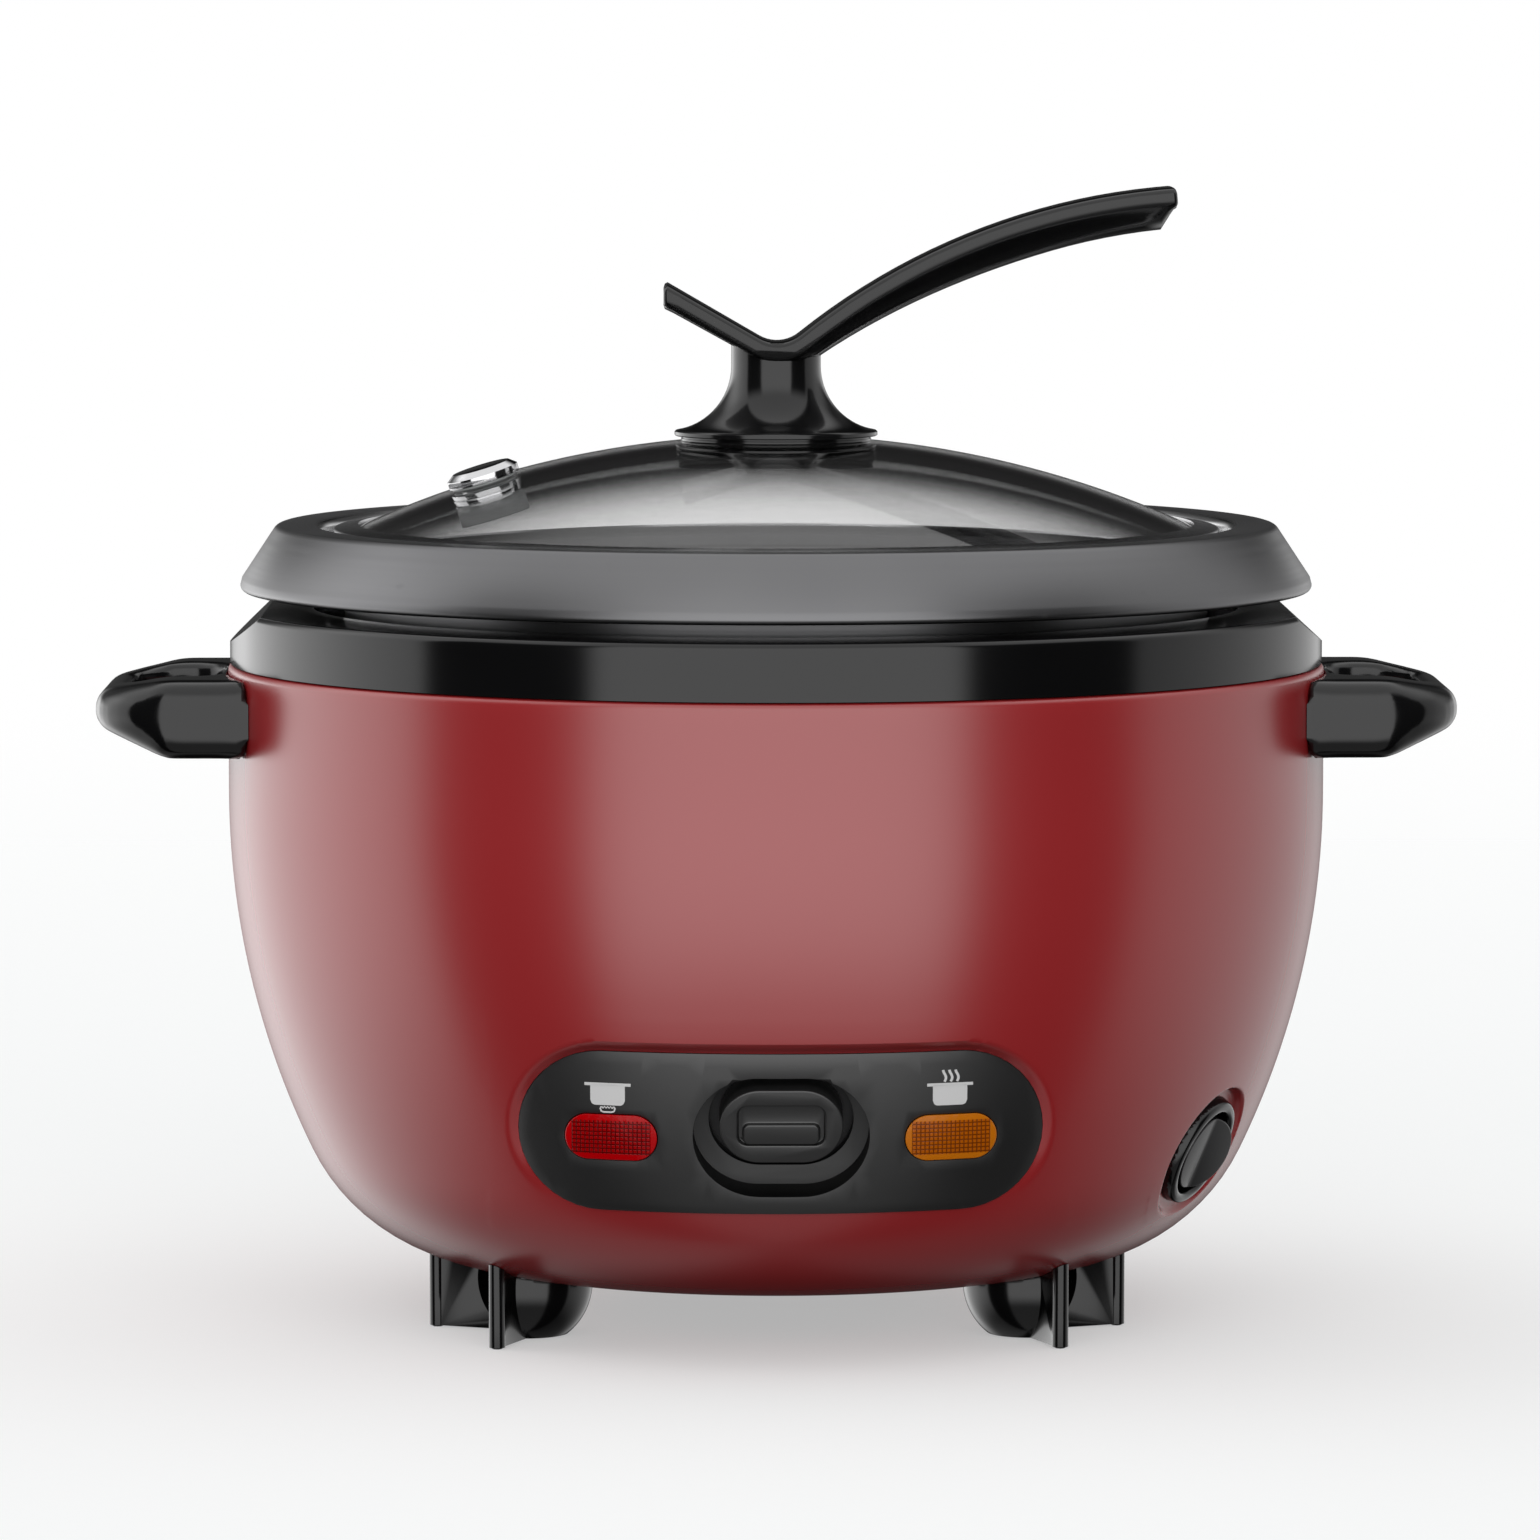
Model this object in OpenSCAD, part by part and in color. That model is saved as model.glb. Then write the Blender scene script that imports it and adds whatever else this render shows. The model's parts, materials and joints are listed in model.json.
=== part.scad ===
// Rice cooker with a lift-out pot and a standing glass lid.
// Origin: on the table, under the middle of the body. Front: -Y. Long lid grip: +X. Units: mm.

/* [Body shell] */
// Radius of the straight upper wall
body_r = 109.6; // [100:0.1:125]
// Height of the shell's lip above the table
shell_top = 131.2; // [122:0.1:150]
// Height of the shell's flat floor above the table
shell_floor = 11.7; // [10:0.1:16]
// Wall thickness of the moulded shell
shell_wall = 2.2; // [1.8:0.1:2.6]
// Height of the straight wall at the top of the shell
straight_h = 26; // [18:0.1:30]
// Radius of the long flank curve
flank_r = 165; // [150:1:220]
// Radius of the curve from the flank into the floor
heel_r = 39; // [32:0.1:42]
// Rounding of the shell's lip
lip_round = 1.5; // [0.5:0.1:2]
// Radius of the service opening in the floor
floor_hole_r = 40; // [34:0.5:41]

/* [Upper ring] */
// Height of the ring's upright face
ring_face_h = 11.2; // [8:0.1:12]
// Rounding of the ring's top edge
ring_round = 1.4; // [0.6:0.1:2]
// Wall thickness of the ring
ring_wall = 2; // [1.6:0.1:2.4]
// Height above the shell at which the finger reliefs start
relief_start = 4.1; // [2:0.1:6]
// Slope of the finger reliefs, in degrees
relief_slope = 42; // [38:0.5:50]

/* [Pot] */
// Distance from the pot's wall to the outside of the shell
jacket = 23.2; // [22:0.1:30]
// Wall thickness of the pot
pot_wall = 1.4; // [1:0.1:2]
// Height of the underside of the pot above the table
pot_floor = 50; // [49:0.1:54]
// Radius of the pot's bottom corner
pot_corner = 18; // [12:0.5:20]
// Height of the pot's top edge above the shell's lip
rim_rise = 27.5; // [25:0.1:34]
// Drop of the rim's sloping skirt
skirt_h = 11.1; // [8:0.1:12]
// Depth from the pot's top edge to the ledge that carries the lid
lid_seat_depth = 8.5; // [7:0.1:10]

/* [Lid] */
// Outer radius of curvature of the glass dome
dome_r = 201.1; // [170:0.1:260]
// Thickness of the glass
glass_t = 4; // [3:0.1:5]
// Radial gap between the lid's steel rim and the pot
lid_gap = 0.6; // [0.4:0.1:1.5]
// Slope angle of the dome at the steam vent
vent_slope = 17; // [10:0.5:19]
// Direction of the steam vent around the lid
vent_turn = 190; // [120:1:240]
// Radius of the vent's cap
vent_r = 7.2; // [5:0.1:9]

/* [Lid knob] */
// Radius of the knob's stem
stem_r = 8.9; // [7:0.1:11]
// Height of the stem above the top of the glass
stem_h = 14.1; // [10:0.1:20]
// Radius of the stem's flare
flare_r = 14.1; // [10:0.1:16]
// Radius of the knob's flange
flange_r = 20.3; // [17:0.1:22]
// Length of the short straight wing
short_wing = 18.9; // [14:0.1:26]
// Rise of the short wing, in degrees
short_rise = 30; // [20:1:40]
// Radius of the hollow between the wings
crook_r = 7.2; // [6.5:0.1:10]
// Radius of the long wing's arch
arch_r = 134.7; // [110:0.1:180]
// Slope of the long wing where it leaves the hollow, in degrees
arch_start = 38.7; // [30:0.1:44]
// Slope of the long wing at its tip, in degrees
arch_end = 4.4; // [0:0.1:12]
// Depth of the wings' upright edges
wing_edge = 3.5; // [2.5:0.1:4.2]

/* [Side handles] */
// Reach of the handles beyond the shell
handle_reach = 25.7; // [23:0.1:32]
// Width of a handle where it meets the shell
handle_w = 70; // [60:0.5:76]
// Height of a handle where it meets the shell
handle_root_h = 15.5; // [12:0.1:17]
// Height of a handle's outer bar
handle_bar_h = 9.1; // [8:0.1:12]
// Thickness of a handle's outer bar
handle_bar_t = 6.6; // [4.5:0.1:8]
// Width of the finger hole
finger_w = 34; // [26:0.5:36]
// Drop from the shell's lip to the handles' middle
handle_drop = 9.8; // [9:0.1:13]

/* [Control panel] */
// Width of the panel
panel_w = 100.2; // [96:0.1:110]
// Height of the panel
panel_h = 31.7; // [31:0.1:34]
// Height of the button's frame above the table
panel_z = 48.75; // [47:0.05:51]
// Depth of the panel's face below the shell's surface
panel_inset = 0.8; // [0.4:0.1:1.2]
// Distance of each lamp from the panel's middle
lamp_x = 32.4; // [30:0.1:34]
// Width of a lamp's lens
lens_w = 17.6; // [14:0.1:19]
// Height of a lamp's lens
lens_h = 9; // [6:0.1:10]
// Width of the button
button_w = 23.5; // [20:0.1:24]
// Height of the button
button_h = 15.4; // [14:0.1:15.6]
// Travel of the button
button_travel = 2.4; // [1.5:0.1:2.6]

/* [Power switch] */
// Direction of the power switch around the body
switch_turn = -27.7; // [-45:0.1:-25]
// Height of the power switch above the table
switch_z = 37; // [36:0.1:42]
// Radius of the switch's bezel
bezel_r = 11.75; // [10:0.05:13]
// Radius of the rocker
rocker_r = 8; // [7:0.1:8.5]
// Swing of the rocker to each side, in degrees
rocker_swing = 9; // [6:0.5:9]

/* [Feet] */
// Distance from the middle to the foot's inner corner
foot_r = 56.1; // [54:0.1:57]
// Length of a foot's fins
fin_len = 22.6; // [16:0.1:23]
// Thickness of a foot's fins
fin_t = 2; // [1.4:0.1:2.4]
// Outer radius of a foot's bowl
bowl_r = 13; // [11:0.1:15]
// Height of the pads under the fins
pad_h = 0.3; // [0.2:0.1:1]

/* [Heater and switchgear] */
// Radius of the heating plate
plate_r = 67; // [60:0.5:68]
// Height of the underside of the heating plate above the table
plate_floor = 42; // [41:0.1:43]
// Gap between the pot and the heat shield
shield_gap = 4.6; // [4:0.1:6]
// Wall thickness of the heat shield
shield_wall = 0.8; // [0.6:0.1:1]
// Height of the underside of the heat shield above the table
shield_floor = 36; // [35.5:0.1:37]
// Radius of the sensor's cap
sensor_r = 16.8; // [14:0.1:17]

/* [Inlet] */
// Width of the power inlet's block
inlet_w = 30; // [28:0.5:36]
// Height of the power inlet's block
inlet_h = 18; // [17:0.5:20]
// Height of the inlet's middle above the table
inlet_z = 34; // [32:0.5:35]

/* [Hidden] */
$fn = 96;

eps = 0.01;
seat = 0.1;          // gap between pieces that are fastened together
rest_gap = 0.3;      // gap between pieces that lift off each other
red = [0.55, 0.06, 0.07];
black = [0.06, 0.06, 0.065];
steel = [0.75, 0.75, 0.77];
pale = [0.85, 0.85, 0.83];

// the shell's outline: straight wall, flank arc and heel arc, each tangent to the next
flank_top = shell_top - straight_h;
flank_cr = body_r - flank_r;
heel_cz = shell_floor + heel_r;
join_turn = asin((flank_top - heel_cz) / (flank_r - heel_r));
join_z = flank_top - flank_r * sin(join_turn);
heel_cr = flank_cr + (flank_r - heel_r) * cos(join_turn);
flank_steps = 11;
heel_steps = 16;

// radius of the shell at height z, made smaller by inset
function shell_r(z, inset = 0) =
    z >= flank_top ? body_r - inset :
    z >= join_z ? flank_cr + sqrt(pow(flank_r - inset, 2) - pow(flank_top - z, 2)) :
    heel_cr + sqrt(pow(heel_r - inset, 2) - pow(heel_cz - z, 2));
// lean of the shell's surface at height z, in degrees
function shell_lean(z) = asin(max(0, flank_top - z) / flank_r);

// points down the flank and round the heel, moved in by inset
function shell_curve(inset) = concat(
    [for (i = [0:flank_steps]) let (turn = join_turn * i / flank_steps)
        [flank_cr + (flank_r - inset) * cos(turn), flank_top - (flank_r - inset) * sin(turn)]],
    [for (i = [1:heel_steps]) let (turn = join_turn + (90 - join_turn) * i / heel_steps)
        [heel_cr + (heel_r - inset) * cos(turn), heel_cz - (heel_r - inset) * sin(turn)]]);

// half section of the space inside the shell's surface, moved in by inset
module shell_section(inset, top) {
    polygon(concat([[0, top], [body_r - inset, top]], shell_curve(inset), [[0, shell_floor + inset]]));
}

module shell_space(inset, top = shell_top) {
    rotate_extrude($fn = 180) shell_section(inset, top);
}

// skin between two depths under the shell's surface
module shell_skin(outer, inner, top = shell_top) {
    rotate_extrude($fn = 180) difference() {
        shell_section(outer, top);
        shell_section(inner, top + 1);
    }
}

// flat shape with round ends, w wide and h high
module stadium(w, h) {
    square([w - h, h], center = true);
    for (side = [-1, 1]) translate([side * (w - h) / 2, 0]) circle(h / 2);
}

module soft_rect(w, h, r) {
    square([w - 2 * r, h], center = true);
    square([w, h - 2 * r], center = true);
    for (sx = [-1, 1], sy = [-1, 1]) translate([sx * (w / 2 - r), sy * (h / 2 - r)]) circle(r, $fn = 32);
}

// extrudes a front view of a shape from the middle of the body out to the front
module from_front(z) {
    translate([0, 0, z]) rotate([90, 0, 0]) linear_extrude(body_r + 10) children();
}

// local frame on the shell: +Z out of the surface, +X down along it
module on_shell(turn, z) {
    rotate([0, 0, turn]) translate([shell_r(z), 0, z]) rotate([0, 90 + shell_lean(z), 0]) children();
}

module around(turns) {
    for (turn = turns) rotate([0, 0, turn]) children();
}

// half section of a round cup with a rounded bottom corner
module cup_section(r, corner, base, top) {
    translate([0, base + corner]) square([r, top - base - corner]);
    translate([0, base]) square([r - corner, corner]);
    intersection() {
        translate([r - corner, base + corner]) circle(corner);
        translate([r - corner, base]) square([corner, corner]);
    }
}

// screw with a domed head below z = 0 and its shank above
module screw(shank_r, length, head_r, head_h) {
    cylinder(r = shank_r, h = length, $fn = 24);
    mirror([0, 0, 1]) cylinder(r1 = head_r, r2 = head_r * 0.7, h = head_h, $fn = 32);
}

// ---- body ----

panel_seat = 3;       // depth of the back of the panel under the shell's surface
outline_z = panel_z - 0.6;
panel_lip = 1.8;      // margin of the soft step around the panel
step_rise = 1.2;      // the step is wider above the panel than below it
ledge_w = 1.6;        // width of the ledge that carries the panel
ledge_depth = 4.4;    // depth of the back of that ledge
pocket_r = bezel_r + 2;
pocket_depth = 1.7;
boss_depth = 5.2;
inlet_y = shell_r(inlet_z + inlet_h / 2) + 0.3;
foot_turns = [213.8, 326.2, 90];
foot_twists = [-10.8, 10.8, 0];
cover_screw_r = floor_hole_r + 2.6;
cover_turns = [30, 150, 270];
bowl_cr = foot_r + 3.6;
foot_screw_r = foot_r + 0.8;
handle_z = shell_top - handle_drop;
handle_screw_y = handle_w / 2 - 7;

module outer_shell() color(red) difference() {
    union() {
        rotate_extrude($fn = 180) difference() {
            union() {
                shell_section(0, shell_top - lip_round);
                translate([0, shell_top - lip_round - eps]) square([body_r - lip_round, lip_round + eps]);
                translate([body_r - lip_round, shell_top - lip_round]) circle(lip_round, $fn = 48);
            }
            shell_section(shell_wall, shell_top + 1);
        }
        intersection() {
            shell_skin(shell_wall - 0.2, ledge_depth);
            from_front(outline_z) stadium(panel_w + 8, panel_h + 8);
        }
        intersection() {
            shell_space(shell_wall - 0.2);
            on_shell(switch_turn, switch_z) translate([0, 0, -boss_depth]) cylinder(r = pocket_r + 2, h = boss_depth);
        }
    }
    intersection() {
        shell_skin(-1, panel_inset);
        from_front(outline_z + step_rise) stadium(panel_w + 2 * panel_lip, panel_h + 2 * (panel_lip + step_rise));
    }
    intersection() {
        shell_skin(-1, panel_seat + seat);
        from_front(outline_z) stadium(panel_w + 2 * seat, panel_h + 2 * seat);
    }
    from_front(outline_z) stadium(panel_w - 2 * ledge_w, panel_h - 2 * ledge_w);
    on_shell(switch_turn, switch_z) {
        translate([0, 0, -pocket_depth]) cylinder(r = pocket_r, h = 10);
        translate([0, 0, -20]) cylinder(r = bezel_r - 1.5 + seat, h = 30);
    }
    translate([0, body_r, inlet_z]) cube([inlet_w + 2 * seat, 80, inlet_h + 2 * seat], center = true);
    translate([0, 0, shell_floor - 1]) cylinder(r = floor_hole_r, h = 10);
    around(foot_turns) translate([foot_screw_r, 0, shell_floor - 1]) cylinder(r = 1.6 + seat, h = 10, $fn = 24);
    around(cover_turns) translate([cover_screw_r, 0, shell_floor - 1]) cylinder(r = 1.5 + seat, h = 10, $fn = 24);
    for (sx = [-1, 1], sy = [-1, 1]) translate([sx * (body_r - 12), sy * handle_screw_y, handle_z])
        rotate([0, sx * 90, 0]) cylinder(r = 1.6 + seat, h = 20, $fn = 24);
}

ring_r = body_r - 0.4;
ring_top = shell_top + ring_face_h;
ring_lid_t = 1.6;     // thickness of the ring's flat top
shield_r = body_r - jacket + shield_gap;
ring_inner = shield_r + shield_wall + 0.6;
spigot_r = body_r - shell_wall - 0.3;
spigot_h = 5.2;
edge_steps = 3;       // facets of the rounded top edge

// space beyond the sloping finger relief on each side, moved in by inset
module finger_reliefs(inset) {
    for (side = [-1, 1]) translate([side * ring_r, 0, shell_top + relief_start])
        rotate([0, side * (relief_slope - 90), 0]) translate([side * (25 - inset), 0, 0]) cube([50, 200, 50], center = true);
}

module upper_ring() color(black) difference() {
    rotate_extrude($fn = 180) polygon(concat(
        [[ring_inner, shell_top - spigot_h], [spigot_r, shell_top - spigot_h], [spigot_r, shell_top + seat],
         [ring_r, shell_top + seat]],
        [for (i = [0:edge_steps]) let (turn = 90 * i / edge_steps)
            [ring_r - ring_round * (1 - cos(turn)), ring_top - ring_round * (1 - sin(turn))]],
        [[ring_inner, ring_top]]));
    difference() {
        rotate_extrude($fn = 180) polygon([
            [ring_inner - 1, shell_top - spigot_h - 1], [spigot_r - ring_wall, shell_top - spigot_h - 1],
            [spigot_r - ring_wall, shell_top + 1], [ring_r - ring_wall, shell_top + 3],
            [ring_r - ring_wall, ring_top - ring_lid_t - 1], [ring_r - ring_wall - 1, ring_top - ring_lid_t],
            [ring_inner - 1, ring_top - ring_lid_t]
        ]);
        finger_reliefs(ring_wall);
    }
    finger_reliefs(0);
}

shield_top = ring_top - ring_lid_t - 0.2;
shield_flange = 3.6;
shield_corner = 30;
shield_hole_r = 26;
leg_r = 52;
leg_turns = [60, 180, 300];
spacer_r = 57;
spacer_turns = [0, 120, 240];

module heat_shield() color(steel) difference() {
    rotate_extrude($fn = 180) {
        difference() {
            cup_section(shield_r + shield_wall, shield_corner + shield_wall, shield_floor, shield_top);
            cup_section(shield_r, shield_corner, shield_floor + shield_wall, shield_top + 1);
        }
        translate([shield_r, shield_top - shield_wall]) square([shield_wall + shield_flange, shield_wall]);
    }
    translate([0, 0, shield_floor - 1]) cylinder(r = shield_hole_r, h = 3);
    around(spacer_turns) translate([spacer_r, 0, shield_floor - 1]) cylinder(r = 1.6 + seat, h = 3, $fn = 24);
}

cover_t = 1.6;
cover_z = shell_floor + shell_wall + seat;

module bottom_cover() color(black) difference() {
    union() {
        translate([0, 0, cover_z]) cylinder(r = floor_hole_r + 5, h = cover_t);
        around(cover_turns) translate([cover_screw_r, 0, cover_z + 0.5]) cylinder(r = 3, h = 4.5, $fn = 32);
    }
    around(cover_turns) translate([cover_screw_r, 0, cover_z - 1]) cylinder(r = 1.6, h = 5, $fn = 24);
    // cooling slots in three fans
    for (fan = [90, 210, 330], i = [-3:3]) rotate([0, 0, fan + i * 7.5])
        translate([25, 0, cover_z - 1]) linear_extrude(4) stadium(16, 1.8);
}

module cover_screws() color(steel) around(cover_turns)
    translate([cover_screw_r, 0, shell_floor - seat]) screw(1.5, 6, 3, 1.4);

// ---- feet ----

bowl_z = shell_floor - 1.3;
bowl_t = 1.4;
bead_r = 1.6;

module bowl_hollow() intersection() {
    translate([bowl_cr, 0, bowl_z]) sphere(bowl_r - bowl_t, $fn = 64);
    translate([0, -50, pad_h + bowl_t]) cube([200, 100, 50]);
}

// frame of one fin: +X along the fin, from the foot's inner corner
module on_fin(turn) {
    translate([foot_r, 0, 0]) rotate([0, 0, turn]) children();
}

// a foot in its own frame, pointing along +X: a bowl, open to the outside between two upright fins
module foot(twist) color(black) difference() {
    union() {
        difference() {
            translate([bowl_cr, 0, bowl_z]) sphere(bowl_r, $fn = 64);
            translate([0, -50, pad_h - 50]) cube([200, 100, 50]);
            bowl_hollow();
            on_fin(twist - 45) cube([50, 50, 50]);
        }
        difference() {
            for (side = [-1, 1]) on_fin(twist + side * 45) {
                translate([0, -fin_t / 2, pad_h]) cube([fin_len, fin_t, 20]);
                translate([fin_len, 0, pad_h]) cylinder(r = bead_r, h = 20, $fn = 32);
            }
            bowl_hollow();
        }
        for (side = [-1, 1]) on_fin(twist + side * 45)
            translate([fin_len, 0, 0]) cylinder(r1 = bead_r * 0.6, r2 = bead_r * 0.8, h = pad_h + eps, $fn = 32);
        translate([foot_screw_r, 0, pad_h + 0.2]) cylinder(r = 4, h = shell_floor - pad_h, $fn = 32);
    }
    shell_space(-seat);
    translate([0, -50, shell_floor + 8]) cube([200, 100, 50]);
    translate([foot_screw_r, 0, pad_h + 3]) cylinder(r = 1.6, h = 30, $fn = 24);
}

module foot_screws() color(steel) around(foot_turns)
    translate([foot_screw_r, 0, shell_floor + shell_wall + seat]) mirror([0, 0, 1]) screw(1.5, 10, 3, 1.8);

// ---- side handles ----

handle_corner = 18;
handle_edge = 4;      // rounding of the handle's edges
bar_rise = 1.45;      // height of the bar's middle above the screws
root_rise = 0.35;     // height of the root's middle above the screws
root_reach = 11;      // reach of the full-height root beyond the shell
bar_x = body_r + handle_reach;

// an outer corner of the handle: a disc with rounded edges
module handle_corner_disc() {
    rotate_extrude($fn = 32) hull() {
        translate([0, -handle_bar_h / 2]) square([handle_corner - handle_edge, handle_bar_h]);
        for (s = [-1, 1]) translate([handle_corner - handle_edge, s * (handle_bar_h / 2 - handle_edge)])
            circle(handle_edge, $fn = 24);
    }
}

// a handle on the +X side
module side_handle() color(black) difference() {
    hull() {
        for (s = [-1, 1]) translate([bar_x - handle_corner, s * (handle_w / 2 - handle_corner), handle_z + bar_rise])
            handle_corner_disc();
        for (s = [-1, 1], t = [-1, 1])
            translate([body_r - 12, s * (handle_w / 2 - handle_edge), handle_z + root_rise + t * (handle_root_h / 2 - handle_edge)])
                rotate([0, 90, 0]) cylinder(r = handle_edge, h = 12 + root_reach, $fn = 32);
    }
    cylinder(r = body_r + seat, h = 400, $fn = 180);
    translate([(body_r + 1 + bar_x - handle_bar_t) / 2, 0, 0]) linear_extrude(200)
        soft_rect(bar_x - handle_bar_t - body_r - 1, finger_w, 9);
    for (s = [-1, 1]) translate([body_r - 12, s * handle_screw_y, handle_z])
        rotate([0, 90, 0]) cylinder(r = 1.6, h = 22, $fn = 24);
}

handle_screw_x = sqrt(pow(body_r - shell_wall, 2) - pow(handle_screw_y + 3, 2)) - 0.1;

module handle_screws() color(steel) for (sx = [-1, 1], sy = [-1, 1])
    translate([sx * handle_screw_x, sy * handle_screw_y, handle_z]) rotate([0, sx * 90, 0]) screw(1.5, 11, 3, 1.8);

// ---- control panel ----

bowl_w = 33.6;        // outline of the hollow around the button
bowl_h = 25.1;
bowl_y = -1.85;       // places up the panel, from the button's frame
slot_y = -0.35;
button_y = 0.35;
carriage_y = 0.3;
bowl_depth = 6.6;
bowl_floor_t = 1.8;
button_face = 1.6;    // depth of the button's face under the shell's surface
slot_w = button_w + 4;
slot_h = button_h + 4.4;
lens_clear = 0.15;
lamp_drop = -1.7;     // height of the lamps, from the button's frame
lamp_y = -sqrt(pow(shell_r(panel_z + lamp_drop), 2) - pow(lamp_x, 2));
lamp_socket = 8.5;    // depth of the sockets behind the shell's surface

module panel_outline(margin = 0) {
    from_front(outline_z) stadium(panel_w + 2 * margin, panel_h + 2 * margin);
}

// the hollow's flat outlines lie across the panel, so they turn a quarter
module on_panel() {
    on_shell(-90, panel_z) rotate([0, 0, 90]) children();
}

module control_panel() color(black) difference() {
    union() {
        intersection() {
            shell_skin(panel_inset, panel_seat);
            panel_outline();
        }
        intersection() {
            shell_space(panel_inset + 0.4);
            on_panel() translate([0, bowl_y, -bowl_depth - bowl_floor_t]) linear_extrude(bowl_depth + bowl_floor_t)
                stadium(bowl_w + 2, bowl_h + 2);
        }
        intersection() {
            shell_space(panel_inset + 0.4);
            for (s = [-1, 1]) translate([s * lamp_x, lamp_y + lamp_socket, panel_z + lamp_drop]) rotate([90, 0, 0])
                linear_extrude(15) stadium(lens_w + 3, lens_h + 3);
        }
    }
    on_panel() translate([0, bowl_y, -bowl_depth]) linear_extrude(30) stadium(bowl_w, bowl_h);
    on_panel() translate([0, slot_y, -bowl_depth - bowl_floor_t - 1]) linear_extrude(30) stadium(slot_w, slot_h);
    for (s = [-1, 1]) translate([s * lamp_x, lamp_y + 20, panel_z + lamp_drop]) rotate([90, 0, 0])
        linear_extrude(60) stadium(lens_w + 2 * lens_clear, lens_h + 2 * lens_clear);
}

module lamp_lens(side, tint) color(tint) intersection() {
    shell_skin(panel_inset - 0.5, panel_seat - 0.4);
    translate([side * lamp_x, 0, panel_z + lamp_drop]) rotate([90, 0, 0])
        linear_extrude(body_r) stadium(lens_w, lens_h);
}

lamp_turn = asin(lamp_x / shell_r(panel_z + lamp_drop));
bulb_r = 1.5;
holder_t = 0.8;

// frame of the lamp on one side of the panel: +Z out of the panel, depth 0 at the shell's surface
module on_lamp(side) {
    translate([side * lamp_x, lamp_y, panel_z + lamp_drop]) rotate([90, 0, 0]) children();
}

module lamp_bulbs() color(pale) for (side = [-1, 1])
    on_lamp(side) translate([0, 0, -5]) rotate([0, 90 + side * lamp_turn, 0])
        cylinder(r = bulb_r, h = 7, center = true, $fn = 32);

module lamp_holders() color(pale) for (side = [-1, 1])
    on_lamp(side) translate([0, 0, -lamp_socket]) linear_extrude(holder_t) stadium(lens_w - seat, lens_h - seat);

// the button's face has a sunk pocket with a raised bar for the finger
module cook_button() color(black) on_panel() translate([0, button_y, 0]) difference() {
    translate([0, 0, -bowl_depth - bowl_floor_t])
        linear_extrude(bowl_depth + bowl_floor_t - button_face) stadium(button_w, button_h);
    translate([0, 0.2, -button_face - 1]) linear_extrude(5) difference() {
        soft_rect(16.6, 8.4, 2);
        translate([0, -1.9]) soft_rect(14.4, 4.2, 1.2);
    }
}

carriage_t = 1.6;
carriage_depth = bowl_depth + bowl_floor_t + rest_gap + carriage_t;
carriage_h = slot_h + 3.5;
toe_len = 6;          // reach of the carriage's toe below its plate
toe_w = 8;

// a plate that covers the slot from behind, with a toe that pushes on the lever
module button_carriage() color(black) on_panel() translate([0, carriage_y, -carriage_depth]) {
    linear_extrude(carriage_t) stadium(slot_w + 4, carriage_h);
    linear_extrude(carriage_t + rest_gap - 0.02) stadium(button_w - 4, button_h - 4);
    translate([-toe_w / 2, -carriage_h / 2 - toe_len, 0]) cube([toe_w, toe_len + 2, carriage_t]);
}

// ---- switchgear under the heating plate ----

lever_y = -50;        // place of the lever's pin
lever_z = 28;
lever_t = 1.6;
lever_w = 8;
pin_r = 1.5;
panel_lean = shell_lean(panel_z);
toe_y = carriage_y - carriage_h / 2 - toe_len;
toe_r = shell_r(panel_z) + toe_y * sin(panel_lean) - carriage_depth * cos(panel_lean);
toe_z = panel_z + toe_y * cos(panel_lean) + (carriage_depth - carriage_t) * sin(panel_lean);
lever_tip_y = -toe_r - 0.8;
lever_tip_z = toe_z - 0.4;
lever_rear = 4;
lever_rear_z = lever_z - 0.8;

// a rocking lever: the toe presses its front end down, its rear end lifts the rod
module switch_lever() color(steel) difference() {
    union() {
        translate([-lever_w / 2, 0, 0]) rotate([90, 0, 90]) linear_extrude(lever_w) polygon([
            [lever_tip_y - 0.6, lever_tip_z - lever_t], [lever_tip_y - 0.6, lever_tip_z],
            [lever_tip_y + 3, lever_tip_z], [lever_y, lever_z + lever_t], [lever_rear, lever_rear_z],
            [lever_rear, lever_rear_z - lever_t], [lever_y, lever_z - lever_t / 2],
            [lever_tip_y + 3, lever_tip_z - lever_t]
        ]);
        translate([-lever_w / 2, lever_y, lever_z]) rotate([0, 90, 0]) cylinder(r = pin_r + 1.7, h = lever_w, $fn = 48);
    }
    translate([-10, lever_y, lever_z]) rotate([0, 90, 0]) cylinder(r = pin_r + 0.05, h = 20, $fn = 48);
}

module lever_pin() color(steel) translate([-8.6, lever_y, lever_z]) rotate([0, 90, 0]) cylinder(r = pin_r, h = 17.2, $fn = 48);

ear_x = 5;
ear_t = 1.2;
bracket_z = shell_floor + shell_wall + seat;

module lever_bracket() color(steel) difference() {
    union() {
        translate([-12, lever_y - 9, bracket_z]) cube([24, 13, ear_t]);
        for (s = [-1, 1]) translate([s * (ear_x + ear_t / 2) - ear_t / 2, lever_y - 4, bracket_z]) cube([ear_t, 8, lever_z + 4 - bracket_z]);
        // shelf for the contact switch
        translate([-6, lever_y - 9, bracket_z]) cube([12, ear_t, 5]);
        translate([-6, lever_y - 24, bracket_z + 5 - ear_t]) cube([12, 15 + ear_t, ear_t]);
    }
    translate([-20, lever_y, lever_z]) rotate([0, 90, 0]) cylinder(r = pin_r + 0.05, h = 40, $fn = 48);
}

module contact_switch() color(black) {
    translate([-3.2, lever_y - 23.5, bracket_z + 5 + seat]) cube([6.4, 13.5, 5.4]);
    translate([-1.5, lever_y - 18, bracket_z + 5 + seat]) cube([3, 3, 8.2]);
}

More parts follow.
